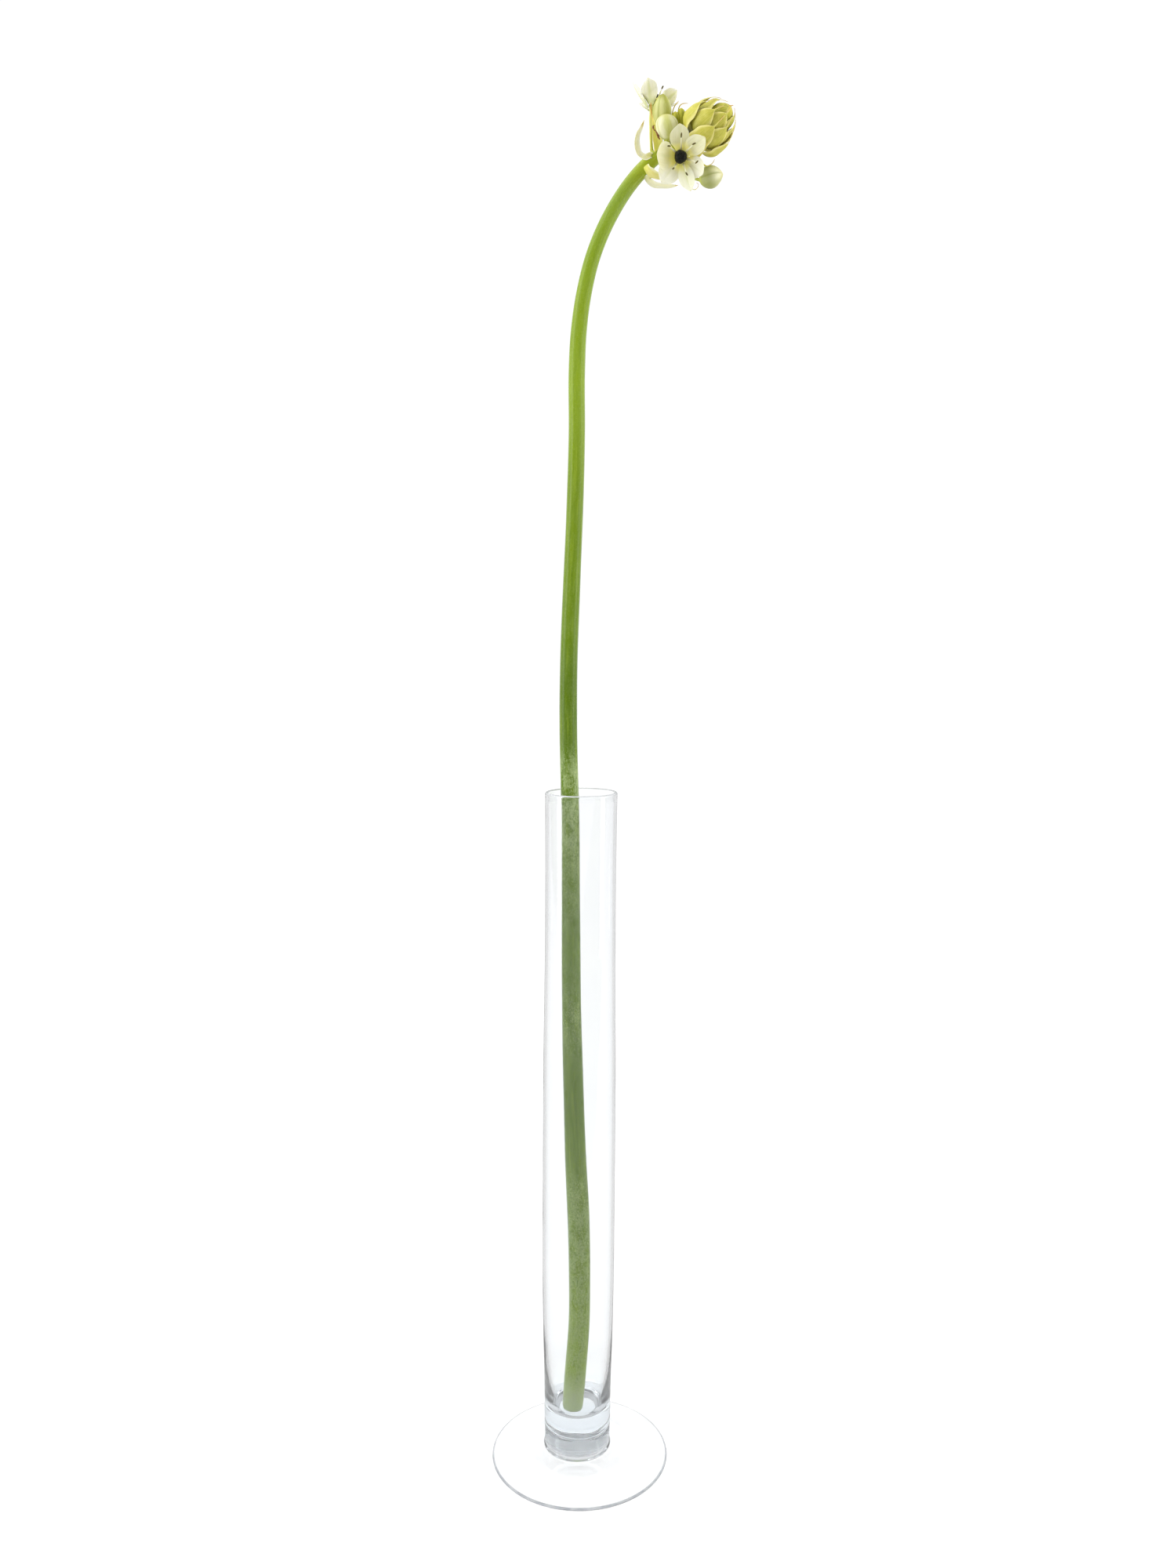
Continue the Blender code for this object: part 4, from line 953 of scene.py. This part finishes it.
def bud(name, mat, stalk, base, tip, radius, stalk_radius=0.7, fullness=0.5, blunt=0.35,
        middle=50.0, twist=0.25, root=None):
    """A pedicel that swells into a closed bud, its three outer tepals folded over one another.

    middle is where one green midrib runs, in degrees to the right of the side that faces the viewer."""
    base, tip = np.array(base, dtype=float), np.array(tip, dtype=float)
    lead = ([root] if root else []) + list(stalk)
    stem_path = smooth_path(lead + [tuple(base)], 26)
    n = 74
    q = 1 - np.cos(np.linspace(0, 1, n + 1)[1:] * math.pi / 2)
    q = 0.35 * q + 0.65 * np.sin(np.linspace(0, 1, n + 1)[1:] * math.pi / 2)
    body = base + np.outer(q, tip - base)
    rise = np.where(q <= fullness, np.sqrt(np.clip(1 - ((fullness - q) / fullness) ** 2, 0, 1)),
                    np.clip(1 - ((q - fullness) / (1 - fullness)) ** 2, 0, 1) ** (0.5 + blunt))
    radii = np.concatenate([np.linspace(stalk_radius * 1.05, stalk_radius * 1.12, 26),
                            np.maximum(radius * rise, np.where(q < 0.3, stalk_radius * 1.15, 0.16))])
    path = HEAD.out(np.concatenate([stem_path, body]))
    start = 26 / (len(path) - 1)
    count = len(path)
    place = np.arange(count) / (count - 1)
    # carry the viewer's side back down the stalk, so that angle 0 faces the viewer on the bud
    d = np.gradient(path, axis=0)
    d /= np.linalg.norm(d, axis=1, keepdims=True)
    facing = unit(HEAD.m[2] - d[60] * float(d[60] @ HEAD.m[2]))
    for i in range(60, -1, -1):
        facing = unit(facing - d[i] * float(d[i] @ facing))
    seam_at = math.radians(middle + 60.0)

    def lap(s, a):
        """How far round each folded tepal an angle lies, 0 at its covering edge."""
        return ((a - seam_at) / math.tau * 3 + twist * s) % 1.0

    def fold(s, a):
        f = min(max((s - start) / (1 - start), 0.0), 1.0)
        f = math.sin(min(f * 1.12, 1.0) * math.pi) ** 0.6 if f > 0 else 0.0
        w = lap(s, a)
        ease = np.clip(w / 0.10, 0, 1)
        step = np.where(w < 0.10, ease * ease * (3 - 2 * ease), 1 - (w - 0.10) / 0.90 * 0.85) - 0.5
        keel = 0.014 * np.exp(-((w - 0.5) / 0.14) ** 2)
        return 1 + f * (0.044 * step + keel + 0.010 * np.cos(5 * a + 7 * s) + 0.008 * np.sin(9 * a - 11 * s))

    def rib_mark(s, a):
        return np.exp(-((lap(s, a) - 0.5) / 0.22) ** 2)

    # high on the pale margin beside each covering edge, below zero in the crease under it, where the material paints
    # shade
    def seam_mark(s, a):
        w = lap(s, a)
        return 0.8 * np.exp(-((w - 0.14) / 0.07) ** 2) - 0.7 * np.exp(-((w - 0.97) / 0.05) ** 2)

    wind = -twist * math.tau / 3
    rings, ang = tube_rings(path, radii, 96, fold, facing, wind)
    verts, faces = tube_mesh(rings)
    _, flow, run = tube_marks(rings, ang)
    sb = np.clip((np.arange(count) - 25) / (count - 26), 0, 1)
    full = np.broadcast_to(sb[:, None], rings.shape[:2])
    aa = ang[None] + wind * place[:, None]
    pl = np.broadcast_to(place[:, None], rings.shape[:2])
    ends = lambda v: np.concatenate([v.ravel(), [v[0].mean(), v[-1].mean()]])
    bodyish = np.clip((full - 0.0) * 12, 0, 1)
    make(name, verts, faces,
         {"along": ends(full), "rib": ends(rib_mark(pl, aa)), "seam_and_shade": ends(seam_mark(pl, aa) * bodyish),
          "body": ends(bodyish)}, mat, {"flow": flow})


bud("tall_striped_bud", BUD_TALL, [(-9.45, -1.15, -1.9), (-9.7, 2.6, -3.6)],
    (-9.1, 6.0, -3.8), (-8.4, 21.6, -2.2), 4.4, 0.8, 0.52, 0.12, middle=50.0, twist=0.12,
    root=(-9.3, -2.2, -1.2))
bud("round_cream_bud", BUD_ROUND, [(-7.6, -0.95, 1.95), (-7.5, 0.7, 3.3)],
    (-6.7, 2.2, 4.4), (-6.3, 13.1, 5.4), 5.2, 0.8, 0.6, 0.0, middle=52.0, twist=0.45,
    root=(-7.6, -1.9, 1.1))
bud("lower_right_bud", BUD_LOW, [(3.2, -2.1, 0.4), (3.4, -8.4, 2.2), (5.8, -13.6, 4.0)],
    (9.0, -14.9, 4.4), (20.3, -12.7, 4.4), 5.1, 0.65, 0.48, 0.25, middle=58.0, twist=0.1,
    root=(3.1, -1.0, 0.3))
bud("young_bud_left", YOUNG, [(-2.75, 1.75, -1.05), (-3.1, 3.9, -2.0)],
    (-3.1, 5.8, -2.2), (-2.4, 14.2, -1.2), 2.2, 0.5, 0.55, 0.1, root=(-2.7, 0.9, -0.8))
bud("young_bud_right", YOUNG, [(0.75, 2.6, -1.6), (0.6, 5.2, -3.0)],
    (0.5, 7.0, -3.4), (0.2, 15.6, -3.0), 2.3, 0.5, 0.55, 0.1, root=(0.8, 1.6, -1.2))
bud("hidden_bud_upper", BUD_TALL, [(-6.0, -1.6, -3.4), (-6.2, -0.2, -6.4)],
    (-5.4, 1.6, -9.0), (-3.2, 9.0, -14.0), 3.7, 0.7, 0.52, 0.1, middle=10.0, root=(-6.0, -2.2, -2.4))
bud("hidden_bud_lower", BUD_LOW, [(-1.6, -3.2, -2.6), (-1.6, -5.4, -5.4)],
    (-0.6, -7.4, -7.6), (4.0, -12.4, -13.6), 3.6, 0.7, 0.52, 0.1, middle=80.0, root=(-1.7, -2.2, -1.6))

# ---------------------------------------------------------------- lower bracts


def leaf(name, mat, spine, width, face, curl, tail_from=0.7, rows=64, cols=16, thick=0.36,
         ripple=0.0, lead=None):
    """A bract along a spine. width is a table, face the way its hollow side looks, curl its roll."""
    path = smooth_path(([lead] if lead else []) + list(spine), 161)
    face = np.asarray(face, dtype=float)
    s = np.linspace(0, 1, rows + 1)
    t = np.sin(np.linspace(-1, 1, cols + 1) * math.pi / 2)
    c = along(path, s)
    a = np.gradient(path, axis=0)
    a = along(a, s)
    a /= np.linalg.norm(a, axis=1, keepdims=True)
    n = face - a * (a @ face)[:, None]
    n /= np.linalg.norm(n, axis=1, keepdims=True)
    side = np.cross(a, n)
    half = (even_value(width, s) / 2)[:, None]
    half = half * np.clip((1.0 - s[:, None]) * 14 + 0.30, 0, 1)
    ang = curl * t[None, :]
    seed = float(rng.uniform(0, math.tau))
    wave = ripple * np.sin(s[:, None] * 17 + seed + 2.0 * np.sign(t)[None]) * t[None] ** 2
    keel = -0.10 * np.exp(-(t[None, :] / 0.16) ** 2) * half / (half.max() + 1e-9)
    p = (c[:, None] + side[:, None] * (half * np.sin(ang) / curl)[..., None]
         + n[:, None] * (half * (1 - np.cos(ang)) / curl + wave + keel)[..., None])
    p = HEAD.out(p)
    slim = np.clip(half / 0.9, 0.45, 1.0)
    body = thick * slim * np.clip(1 - np.abs(t[None, :]) ** 4 * 0.6, 0.3, 1)
    tail = np.clip((s[:, None] - tail_from) / max(1 - tail_from, 0.01), 0, 1) * np.ones_like(t)[None]
    sheet_piece(name, p, body, s[:, None], t[None, :], mat, {"tail": tail})


leaf("curled_cream_bract", DRY,
     [(-14.3, -4.0, 3.1), (-16.7, -4.7, 4.1), (-19.4, -3.4, 4.0), (-20.7, 0.6, 3.7),
      (-20.2, 4.8, 3.4), (-18.5, 7.8, 3.0), (-17.1, 10.8, 2.5)],
     [(0.0, 2.2), (0.3, 3.4), (0.55, 3.5), (0.8, 2.1), (1.0, 0.4)], (0.55, 0.25, 0.85), 0.9,
     0.72, lead=(-12.8, -5.3, 0.7), ripple=0.12)
leaf("brown_tipped_bract", DRY_BROWN,
     [(-10.9, -1.4, 1.5), (-10.9, 2.0, 1.2), (-11.9, 6.4, 1.0), (-13.1, 10.6, 0.8),
      (-13.9, 15.1, 0.3), (-14.0, 18.2, 0.0)],
     [(0.0, 3.4), (0.24, 5.2), (0.48, 3.0), (0.68, 1.1), (1.0, 0.4)], (0.30, 0.0, 0.95), 0.7, 0.30,
     lead=(-10.8, -2.6, 1.3), ripple=0.10)
rr = np.interp(np.linspace(0, 7, 60), np.arange(8), [0.18, 0.34, 0.26, 0.30, 0.24, 0.34, 0.44, 0.18])
tube_piece("dried_curl",
           HEAD.out(smooth_path([(-12.4, 8.6, 1.2), (-12.9, 7.6, 2.6), (-12.3, 6.7, 3.8), (-11.6, 6.1, 4.9),
                                 (-10.9, 4.9, 6.2), (-10.2, 3.5, 6.9), (-9.7, 2.5, 7.2)], 60)),
           rr, 16, CURL,
           lambda s, a: 1 + 0.25 * np.cos(2 * a + 9 * s) + 0.14 * np.sin(37 * s + a))
leaf("upper_boat_bract", BOAT,
     [(-16.7, -8.6, 6.3), (-15.5, -10.8, 7.1), (-12.7, -12.8, 7.1), (-9.0, -13.7, 6.6),
      (-5.6, -13.6, 6.2)],
     [(0.0, 4.8), (0.35, 6.4), (0.7, 4.4), (1.0, 0.7)], (0.35, 0.75, -0.75), 0.8, 0.9, ripple=0.10)
leaf("lower_boat_bract", DRY,
     [(-12.8, -11.9, 2.6), (-15.4, -14.3, 2.6), (-14.0, -16.3, 2.2), (-8.0, -17.7, 2.0),
      (-1.0, -17.1, 2.0)],
     [(0.0, 2.4), (0.35, 4.4), (0.7, 3.9), (1.0, 0.5)], (0.1, 0.66, -0.66), 0.9, 0.85,
     lead=(-12.6, -10.6, 2.2), ripple=0.10)
leaf("awned_bract_left", BRACT,
     [(-4.4, 0.5, -2.4), (-4.3, 3.2, -4.8), (-3.9, 6.6, -6.6), (-4.2, 11.0, -7.0),
      (-3.3, 15.6, -5.6), (-0.9, 18.6, -4.2)],
     [(0.0, 1.8), (0.35, 3.0), (0.62, 0.8), (1.0, 0.3)], (0.0, 0.3, 1.0), 0.6, 0.5,
     lead=(-4.3, -0.3, -1.8))
leaf("awned_bract_right", BRACT,
     [(0.9, 0.75, -2.6), (0.8, 2.8, -5.4), (0.1, 5.8, -7.3), (-0.6, 8.8, -7.9), (-1.2, 12.6, -7.6),
      (-0.2, 16.8, -6.4), (3.5, 17.4, -5.2)],
     [(0.0, 1.8), (0.35, 3.0), (0.62, 0.8), (1.0, 0.3)], (0.0, 0.3, 1.0), 0.6, 0.5,
     lead=(0.9, 0.5, -1.8))
leaf("lower_right_bract", BRACT,
     [(4.8, -3.3, 0.9), (6.6, -5.6, 3.4), (8.6, -7.1, 5.4), (10.4, -8.3, 6.6), (12.4, -9.1, 7.0),
      (14.4, -8.5, 7.0), (16.1, -6.3, 7.2)],
     [(0.0, 1.8), (0.3, 3.4), (0.6, 1.4), (0.75, 0.5), (1.0, 0.3)], (0.3, -0.2, -1.0), 0.6, 0.6,
     lead=(3.9, -2.7, 0.5))
leaf("lower_right_small_bract", BRACT,
     [(5.65, -14.55, 3.25), (5.6, -16.6, 2.7), (5.7, -18.7, 2.6), (6.9, -19.2, 2.8),
      (8.4, -18.2, 3.0), (8.7, -16.9, 3.1), (7.6, -16.3, 3.2)],
     [(0.0, 0.8), (0.22, 1.5), (0.4, 0.5), (1.0, 0.25)], (0.9, 0.2, 0.4), 0.6, 0.3, rows=90, cols=8,
     lead=(5.7, -13.9, 3.7))
leaf("small_yellow_bract", BRACT_YELLOW,
     [(4.05, -0.5, 2.5), (4.6, -2.8, 4.9), (5.6, -4.7, 8.0), (7.6, -4.5, 11.2), (9.7, -2.8, 12.9),
      (11.6, -0.8, 13.5), (13.4, 1.2, 13.4)],
     [(0.0, 1.2), (0.5, 3.4), (0.8, 1.9), (1.0, 0.3)], (0.2, 0.3, -1.0), 0.7, 0.85,
     lead=(4.0, 0.4, 1.9))

# ---------------------------------------------------------------- cone of unopened buds

CONE_AXIS = unit((0.79, 0.59, 0.17))
cone_x = unit(np.array([0.0, 0.0, 1.0]) - CONE_AXIS * CONE_AXIS[2])
CONE = HEAD.inner((6.4, 2.4, 0.8), cone_x, np.cross(CONE_AXIS, cone_x), CONE_AXIS)
DOME = [(-2.0, 9.2), (1.0, 11.2), (4.0, 12.1), (8.0, 12.3), (12.0, 11.7), (16.0, 10.1),
        (18.5, 8.2), (20.5, 6.0), (22.0, 3.8), (23.0, 2.2)]


def cone_bract(name, mat, azimuth, ring, base_t, body_t, end_t, width, lift=0.0, skew=0.0):
    """A bract that leaves the rachis, swells out to the cone's shell and closes over it in an awn."""
    under, over = 1.35 * ring, 0.7 * ring
    clear = 6.0 + 2.6 * ring

    def shell(t):
        out = min(max((t - clear) / 8.0, 0.0), 1.0)
        return float(steps_value(DOME, t)) - under - (over - under) * out * out * (3 - 2 * out)

    line = [(2.1 - 0.37 * ring, base_t - 0.2), (2.9 - 0.37 * ring, base_t),
            (0.5 * shell(base_t + 2.4), base_t + 0.9), (0.9 * shell(base_t + 3.4), base_t + 2.8)]
    for k in range(6):
        t = base_t + 5.4 + (end_t - base_t - 5.4) * k / 5
        line.append((max(shell(t), 1.1), t))
    path = smooth_path([(r, 0.0, t) for r, t in line], 161)
    run = np.concatenate([[0], np.cumsum(np.linalg.norm(np.diff(path, axis=0), axis=1))])
    body = float(np.interp(body_t, path[30:, 2], run[30:])) / run[-1]
    table = [(0.0, 0.24 * width), (0.20 * body, 0.62 * width), (0.46 * body, width),
             (0.70 * body, 0.96 * width), (0.86 * body, 0.62 * width), (0.95 * body, 0.26 * width),
             (body, 0.62), (1.0, 0.26)]
    rows, cols = 72, 18
    s = np.linspace(0, 1, rows + 1)
    t = np.sin(np.linspace(-1, 1, cols + 1) * math.pi / 2)
    c = along(path, s)
    half = (even_value(table, s) / 2)[:, None]
    seed = float(rng.uniform(0, math.tau))
    lifted = lift * np.exp(-((s - body * 0.90) / 0.16) ** 2)
    sway = skew * np.clip((s - 0.4 * body) / (1 - 0.4 * body), 0, 1) ** 2
    rad = c[:, 0] + lifted
    ang = np.minimum(half / np.maximum(rad[:, None], 0.5), 1.05) * t[None] + (sway / np.maximum(rad, 2.0))[:, None]
    keel = 0.22 * np.exp(-(t[None] / 0.22) ** 2) * (half / half.max())
    curl = -0.35 * (half / half.max()) * np.abs(t[None]) ** 3 + 0.10 * np.sin(s[:, None] * 15 + seed) * t[None] ** 2
    r = rad[:, None] + keel + curl
    local = np.stack([r * np.cos(ang), r * np.sin(ang), np.broadcast_to(c[:, 2][:, None], r.shape)], -1)
    az = math.radians(azimuth)
    ca, sa = math.cos(az), math.sin(az)
    turned = np.stack([local[..., 0] * ca - local[..., 1] * sa, local[..., 0] * sa + local[..., 1] * ca,
                       local[..., 2]], -1)
    slim = np.clip(half / 0.8, 0.5, 1.0)
    thick = 0.36 * slim * np.clip(1 - np.abs(t[None]) ** 4 * 0.6, 0.3, 1)
    tail = np.clip((s[:, None] - 0.86 * body) / (1 - 0.86 * body), 0, 1) * np.ones_like(t)[None]
    sheet_piece(name, CONE.out(turned), thick, s[:, None] / body, t[None], mat,
                {"tail": tail})


rings = [([8.0, 70.0, 148.0, -138.0, -58.0], 0, -1.6, 12.4, 18.2, 10.0),
         ([36.0, 108.0, 182.0, -100.0, -24.0], 1, 1.4, 16.0, 19.8, 10.0),
         ([8.0, 90.0, 184.0, -70.0], 2, 4.6, 19.2, 21.6, 10.2),
         ([-30.0, 80.0, 200.0], 3, 8.2, 21.2, 22.6, 9.4)]
# the cone's inner rings take the darker bract copies: painted shade deeper in the cone
number = 0
for azimuths, ring, base_t, body_t, end_t, width in rings:
    for a in azimuths:
        number += 1
        cone_bract("cone_bract_%02d" % number, (BRACT, BRACT_MID_SHADED, BRACT_MID_SHADED, BRACT_DEEP_SHADED)[ring], a, ring, base_t,
                   body_t, end_t, width, lift=0.3 if ring < 3 else 0.1,
                   skew=float(rng.uniform(-0.5, 0.5)))

core = [(9.0, 0.9), (9.5, 1.3), (10.8, 2.3), (12.2, 4.0), (14.0, 4.9), (16.0, 5.0), (18.0, 4.6),
        (19.6, 3.6), (20.8, 2.2), (21.6, 0.35)]
ct = np.linspace(9.0, 21.6, 60)
tube_piece("cone_tip_bud", CONE.out(np.stack([0 * ct, 0 * ct, ct], -1)), even_value(core, ct), 60,
           YOUNG,
           lambda s, a: 1 + 0.06 * np.cos(6 * a + 5 * s) - 0.05 * np.abs(np.sin(3 * a + 2.5 * s)),
           {"rib": lambda s, a: np.clip(np.cos(6 * a + 5 * s), 0, 1), "seam_and_shade": lambda s, a: 0 * s,
            "body": lambda s, a: 1 + 0 * s})

# ---------------------------------------------------------------- floor and light

floor = bpy.data.meshes.new("floor")
floor.from_pydata([(-6, -6, -0.0002), (6, -6, -0.0002), (6, 6, -0.0002), (-6, 6, -0.0002)], [], [(0, 1, 2, 3)])
floor_obj = bpy.data.objects.new("floor", floor)
bpy.context.scene.collection.objects.link(floor_obj)
k = Shade("floor", roughness=0.6, specular=0.1)
k.colour(k.mix(k.noise(k.place(), 4.0, 3.0), (0.20, 0.20, 0.20), (0.22, 0.22, 0.22)))
# a sheet of white lit from below, as under a light table, so that nothing throws a hard shadow
k.p.inputs["Emission Color"].default_value = (1.0, 1.0, 1.0, 1.0)
path = k.node("ShaderNodeLightPath")
mirror = k.calc("MULTIPLY", k.calc("GREATER_THAN", path.outputs["Glossy Depth"], 0.5),
                k.calc("LESS_THAN", path.outputs["Diffuse Depth"], 0.5))
within = k.calc("GREATER_THAN", path.outputs["Transmission Depth"], 0.5)
spot = k.node("ShaderNodeVectorMath", operation="LENGTH")
k.nt.links.new(k.place(), spot.inputs[0])
# painted light: seen through the glass, the floor glows brighter under the foot, standing in for light the glass
# carries down to it
painted_glow_under_foot = k.between(spot.outputs["Value"], 0.05, 0.09, 1.02, 0.82)
lit = k.mix(within, (0.84, 0.84, 0.84), painted_glow_under_foot)
lit = k.mix(k.calc("GREATER_THAN", path.outputs["Diffuse Depth"], 0.5), lit, (0.56, 0.56, 0.56))
glow = k.mix(mirror, lit, k.between(within, 0.0, 1.0, 0.42, 0.51))
k.nt.links.new(glow, k.p.inputs["Emission Strength"])
k.mat.cycles.emission_sampling = "NONE"
floor.materials.append(k.mat)

world = bpy.data.worlds.new("studio")
bpy.context.scene.world = world
world.use_nodes = True
world.cycles.sampling_method = "NONE"
nt = world.node_tree
nt.nodes.clear()


def studio(kind, *values, **props):
    """One node of the studio's light, with its inputs in order."""
    n = nt.nodes.new(kind)
    for key, val in props.items():
        setattr(n, key, val)
    for socket, val in zip(n.inputs, values):
        if isinstance(val, (int, float)):
            socket.default_value = val
        elif val is not None:
            nt.links.new(val, socket)
    return n


# white paper all round, bright overhead. What the surfaces mirror is the room in front of the
# paper, so it is dimmer, and dimmest on the side the viewer stands.
way = studio("ShaderNodeSeparateXYZ", studio("ShaderNodeTexCoord").outputs["Generated"])
side = studio("ShaderNodeMapRange", way.outputs["Y"], -0.95, 0.45, 0.36, 0.80,
              interpolation_type="SMOOTHSTEP", clamp=True)
overhead = studio("ShaderNodeMapRange", way.outputs["Z"], 0.05, 0.85, 0.0, 1.0,
                  interpolation_type="SMOOTHSTEP", clamp=True)
across = studio("ShaderNodeMath", way.outputs["X"], way.outputs["X"], operation="MULTIPLY")
far_out = studio("ShaderNodeMath", across.outputs[0], across.outputs[0], operation="MULTIPLY")
above = studio("ShaderNodeMapRange", overhead.outputs[0], 0.0, 1.0, side.outputs[0], 1.08)
paper = studio("ShaderNodeMath", far_out.outputs[0], 3.0, above.outputs[0], operation="MULTIPLY_ADD")
room = studio("ShaderNodeMapRange", way.outputs["Y"], -0.60, 0.80, 0.22, 0.50,
              interpolation_type="SMOOTHSTEP", clamp=True)
mirrored = studio("ShaderNodeMapRange", overhead.outputs[0], 0.0, 1.0, room.outputs[0], 1.0)
ray = studio("ShaderNodeLightPath")
not_lit = studio("ShaderNodeMath", ray.outputs["Diffuse Depth"], 0.5, operation="LESS_THAN")
no_gloss = studio("ShaderNodeMath", ray.outputs["Glossy Depth"], 0.5, operation="LESS_THAN")
plain = studio("ShaderNodeMath", not_lit.outputs[0], no_gloss.outputs[0], operation="MULTIPLY")
within = studio("ShaderNodeMath", ray.outputs["Transmission Depth"], 0.5, operation="GREATER_THAN")
deep = studio("ShaderNodeMath", ray.outputs["Transmission Depth"], 2.5, operation="GREATER_THAN")
through = studio("ShaderNodeMapRange", deep.outputs[0], 0.0, 1.0, 0.86, 0.30)
inside = studio("ShaderNodeMapRange", within.outputs[0], 0.0, 1.0, mirrored.outputs[0], through.outputs[0])
dim = studio("ShaderNodeMapRange", not_lit.outputs[0], 0.0, 1.0, paper.outputs[0], inside.outputs[0])
level = studio("ShaderNodeMapRange", plain.outputs[0], 0.0, 1.0, dim.outputs[0], 1.04)
glow = studio("ShaderNodeBackground")
glow.inputs["Color"].default_value = (1.0, 1.0, 1.0, 1.0)
nt.links.new(level.outputs[0], glow.inputs["Strength"])
out = studio("ShaderNodeOutputWorld", glow.outputs[0])


def softbox(name, where, at, width, height, power, colour):
    d = bpy.data.lights.new(name, "AREA")
    d.shape = "RECTANGLE"
    d.size, d.size_y = width, height
    d.energy = power
    d.color = colour
    o = bpy.data.objects.new(name, d)
    o.location = where
    o.rotation_euler = (Vector(at) - Vector(where)).to_track_quat("-Z", "Y").to_euler()
    bpy.context.scene.collection.objects.link(o)


softbox("key", (-0.96, -0.77, 1.60), (0.0, 0.01, 0.60), 0.34, 0.34, 2.8, (1.0, 0.99, 0.97))
softbox("left_strip", (-1.0, -0.30, 0.55), (0.0, 0.0, 0.45), 0.30, 1.40, 4.6, (1.0, 1.0, 1.0))
softbox("right_strip", (1.0, -0.26, 0.55), (0.0, 0.0, 0.45), 0.26, 1.40, 3.0, (1.0, 1.0, 1.0))

bpy.context.scene.view_settings.view_transform = "Standard"
bpy.context.scene.view_settings.look = "None"
bpy.context.scene.view_settings.exposure = 0.0
bpy.context.scene.view_settings.gamma = 1.0
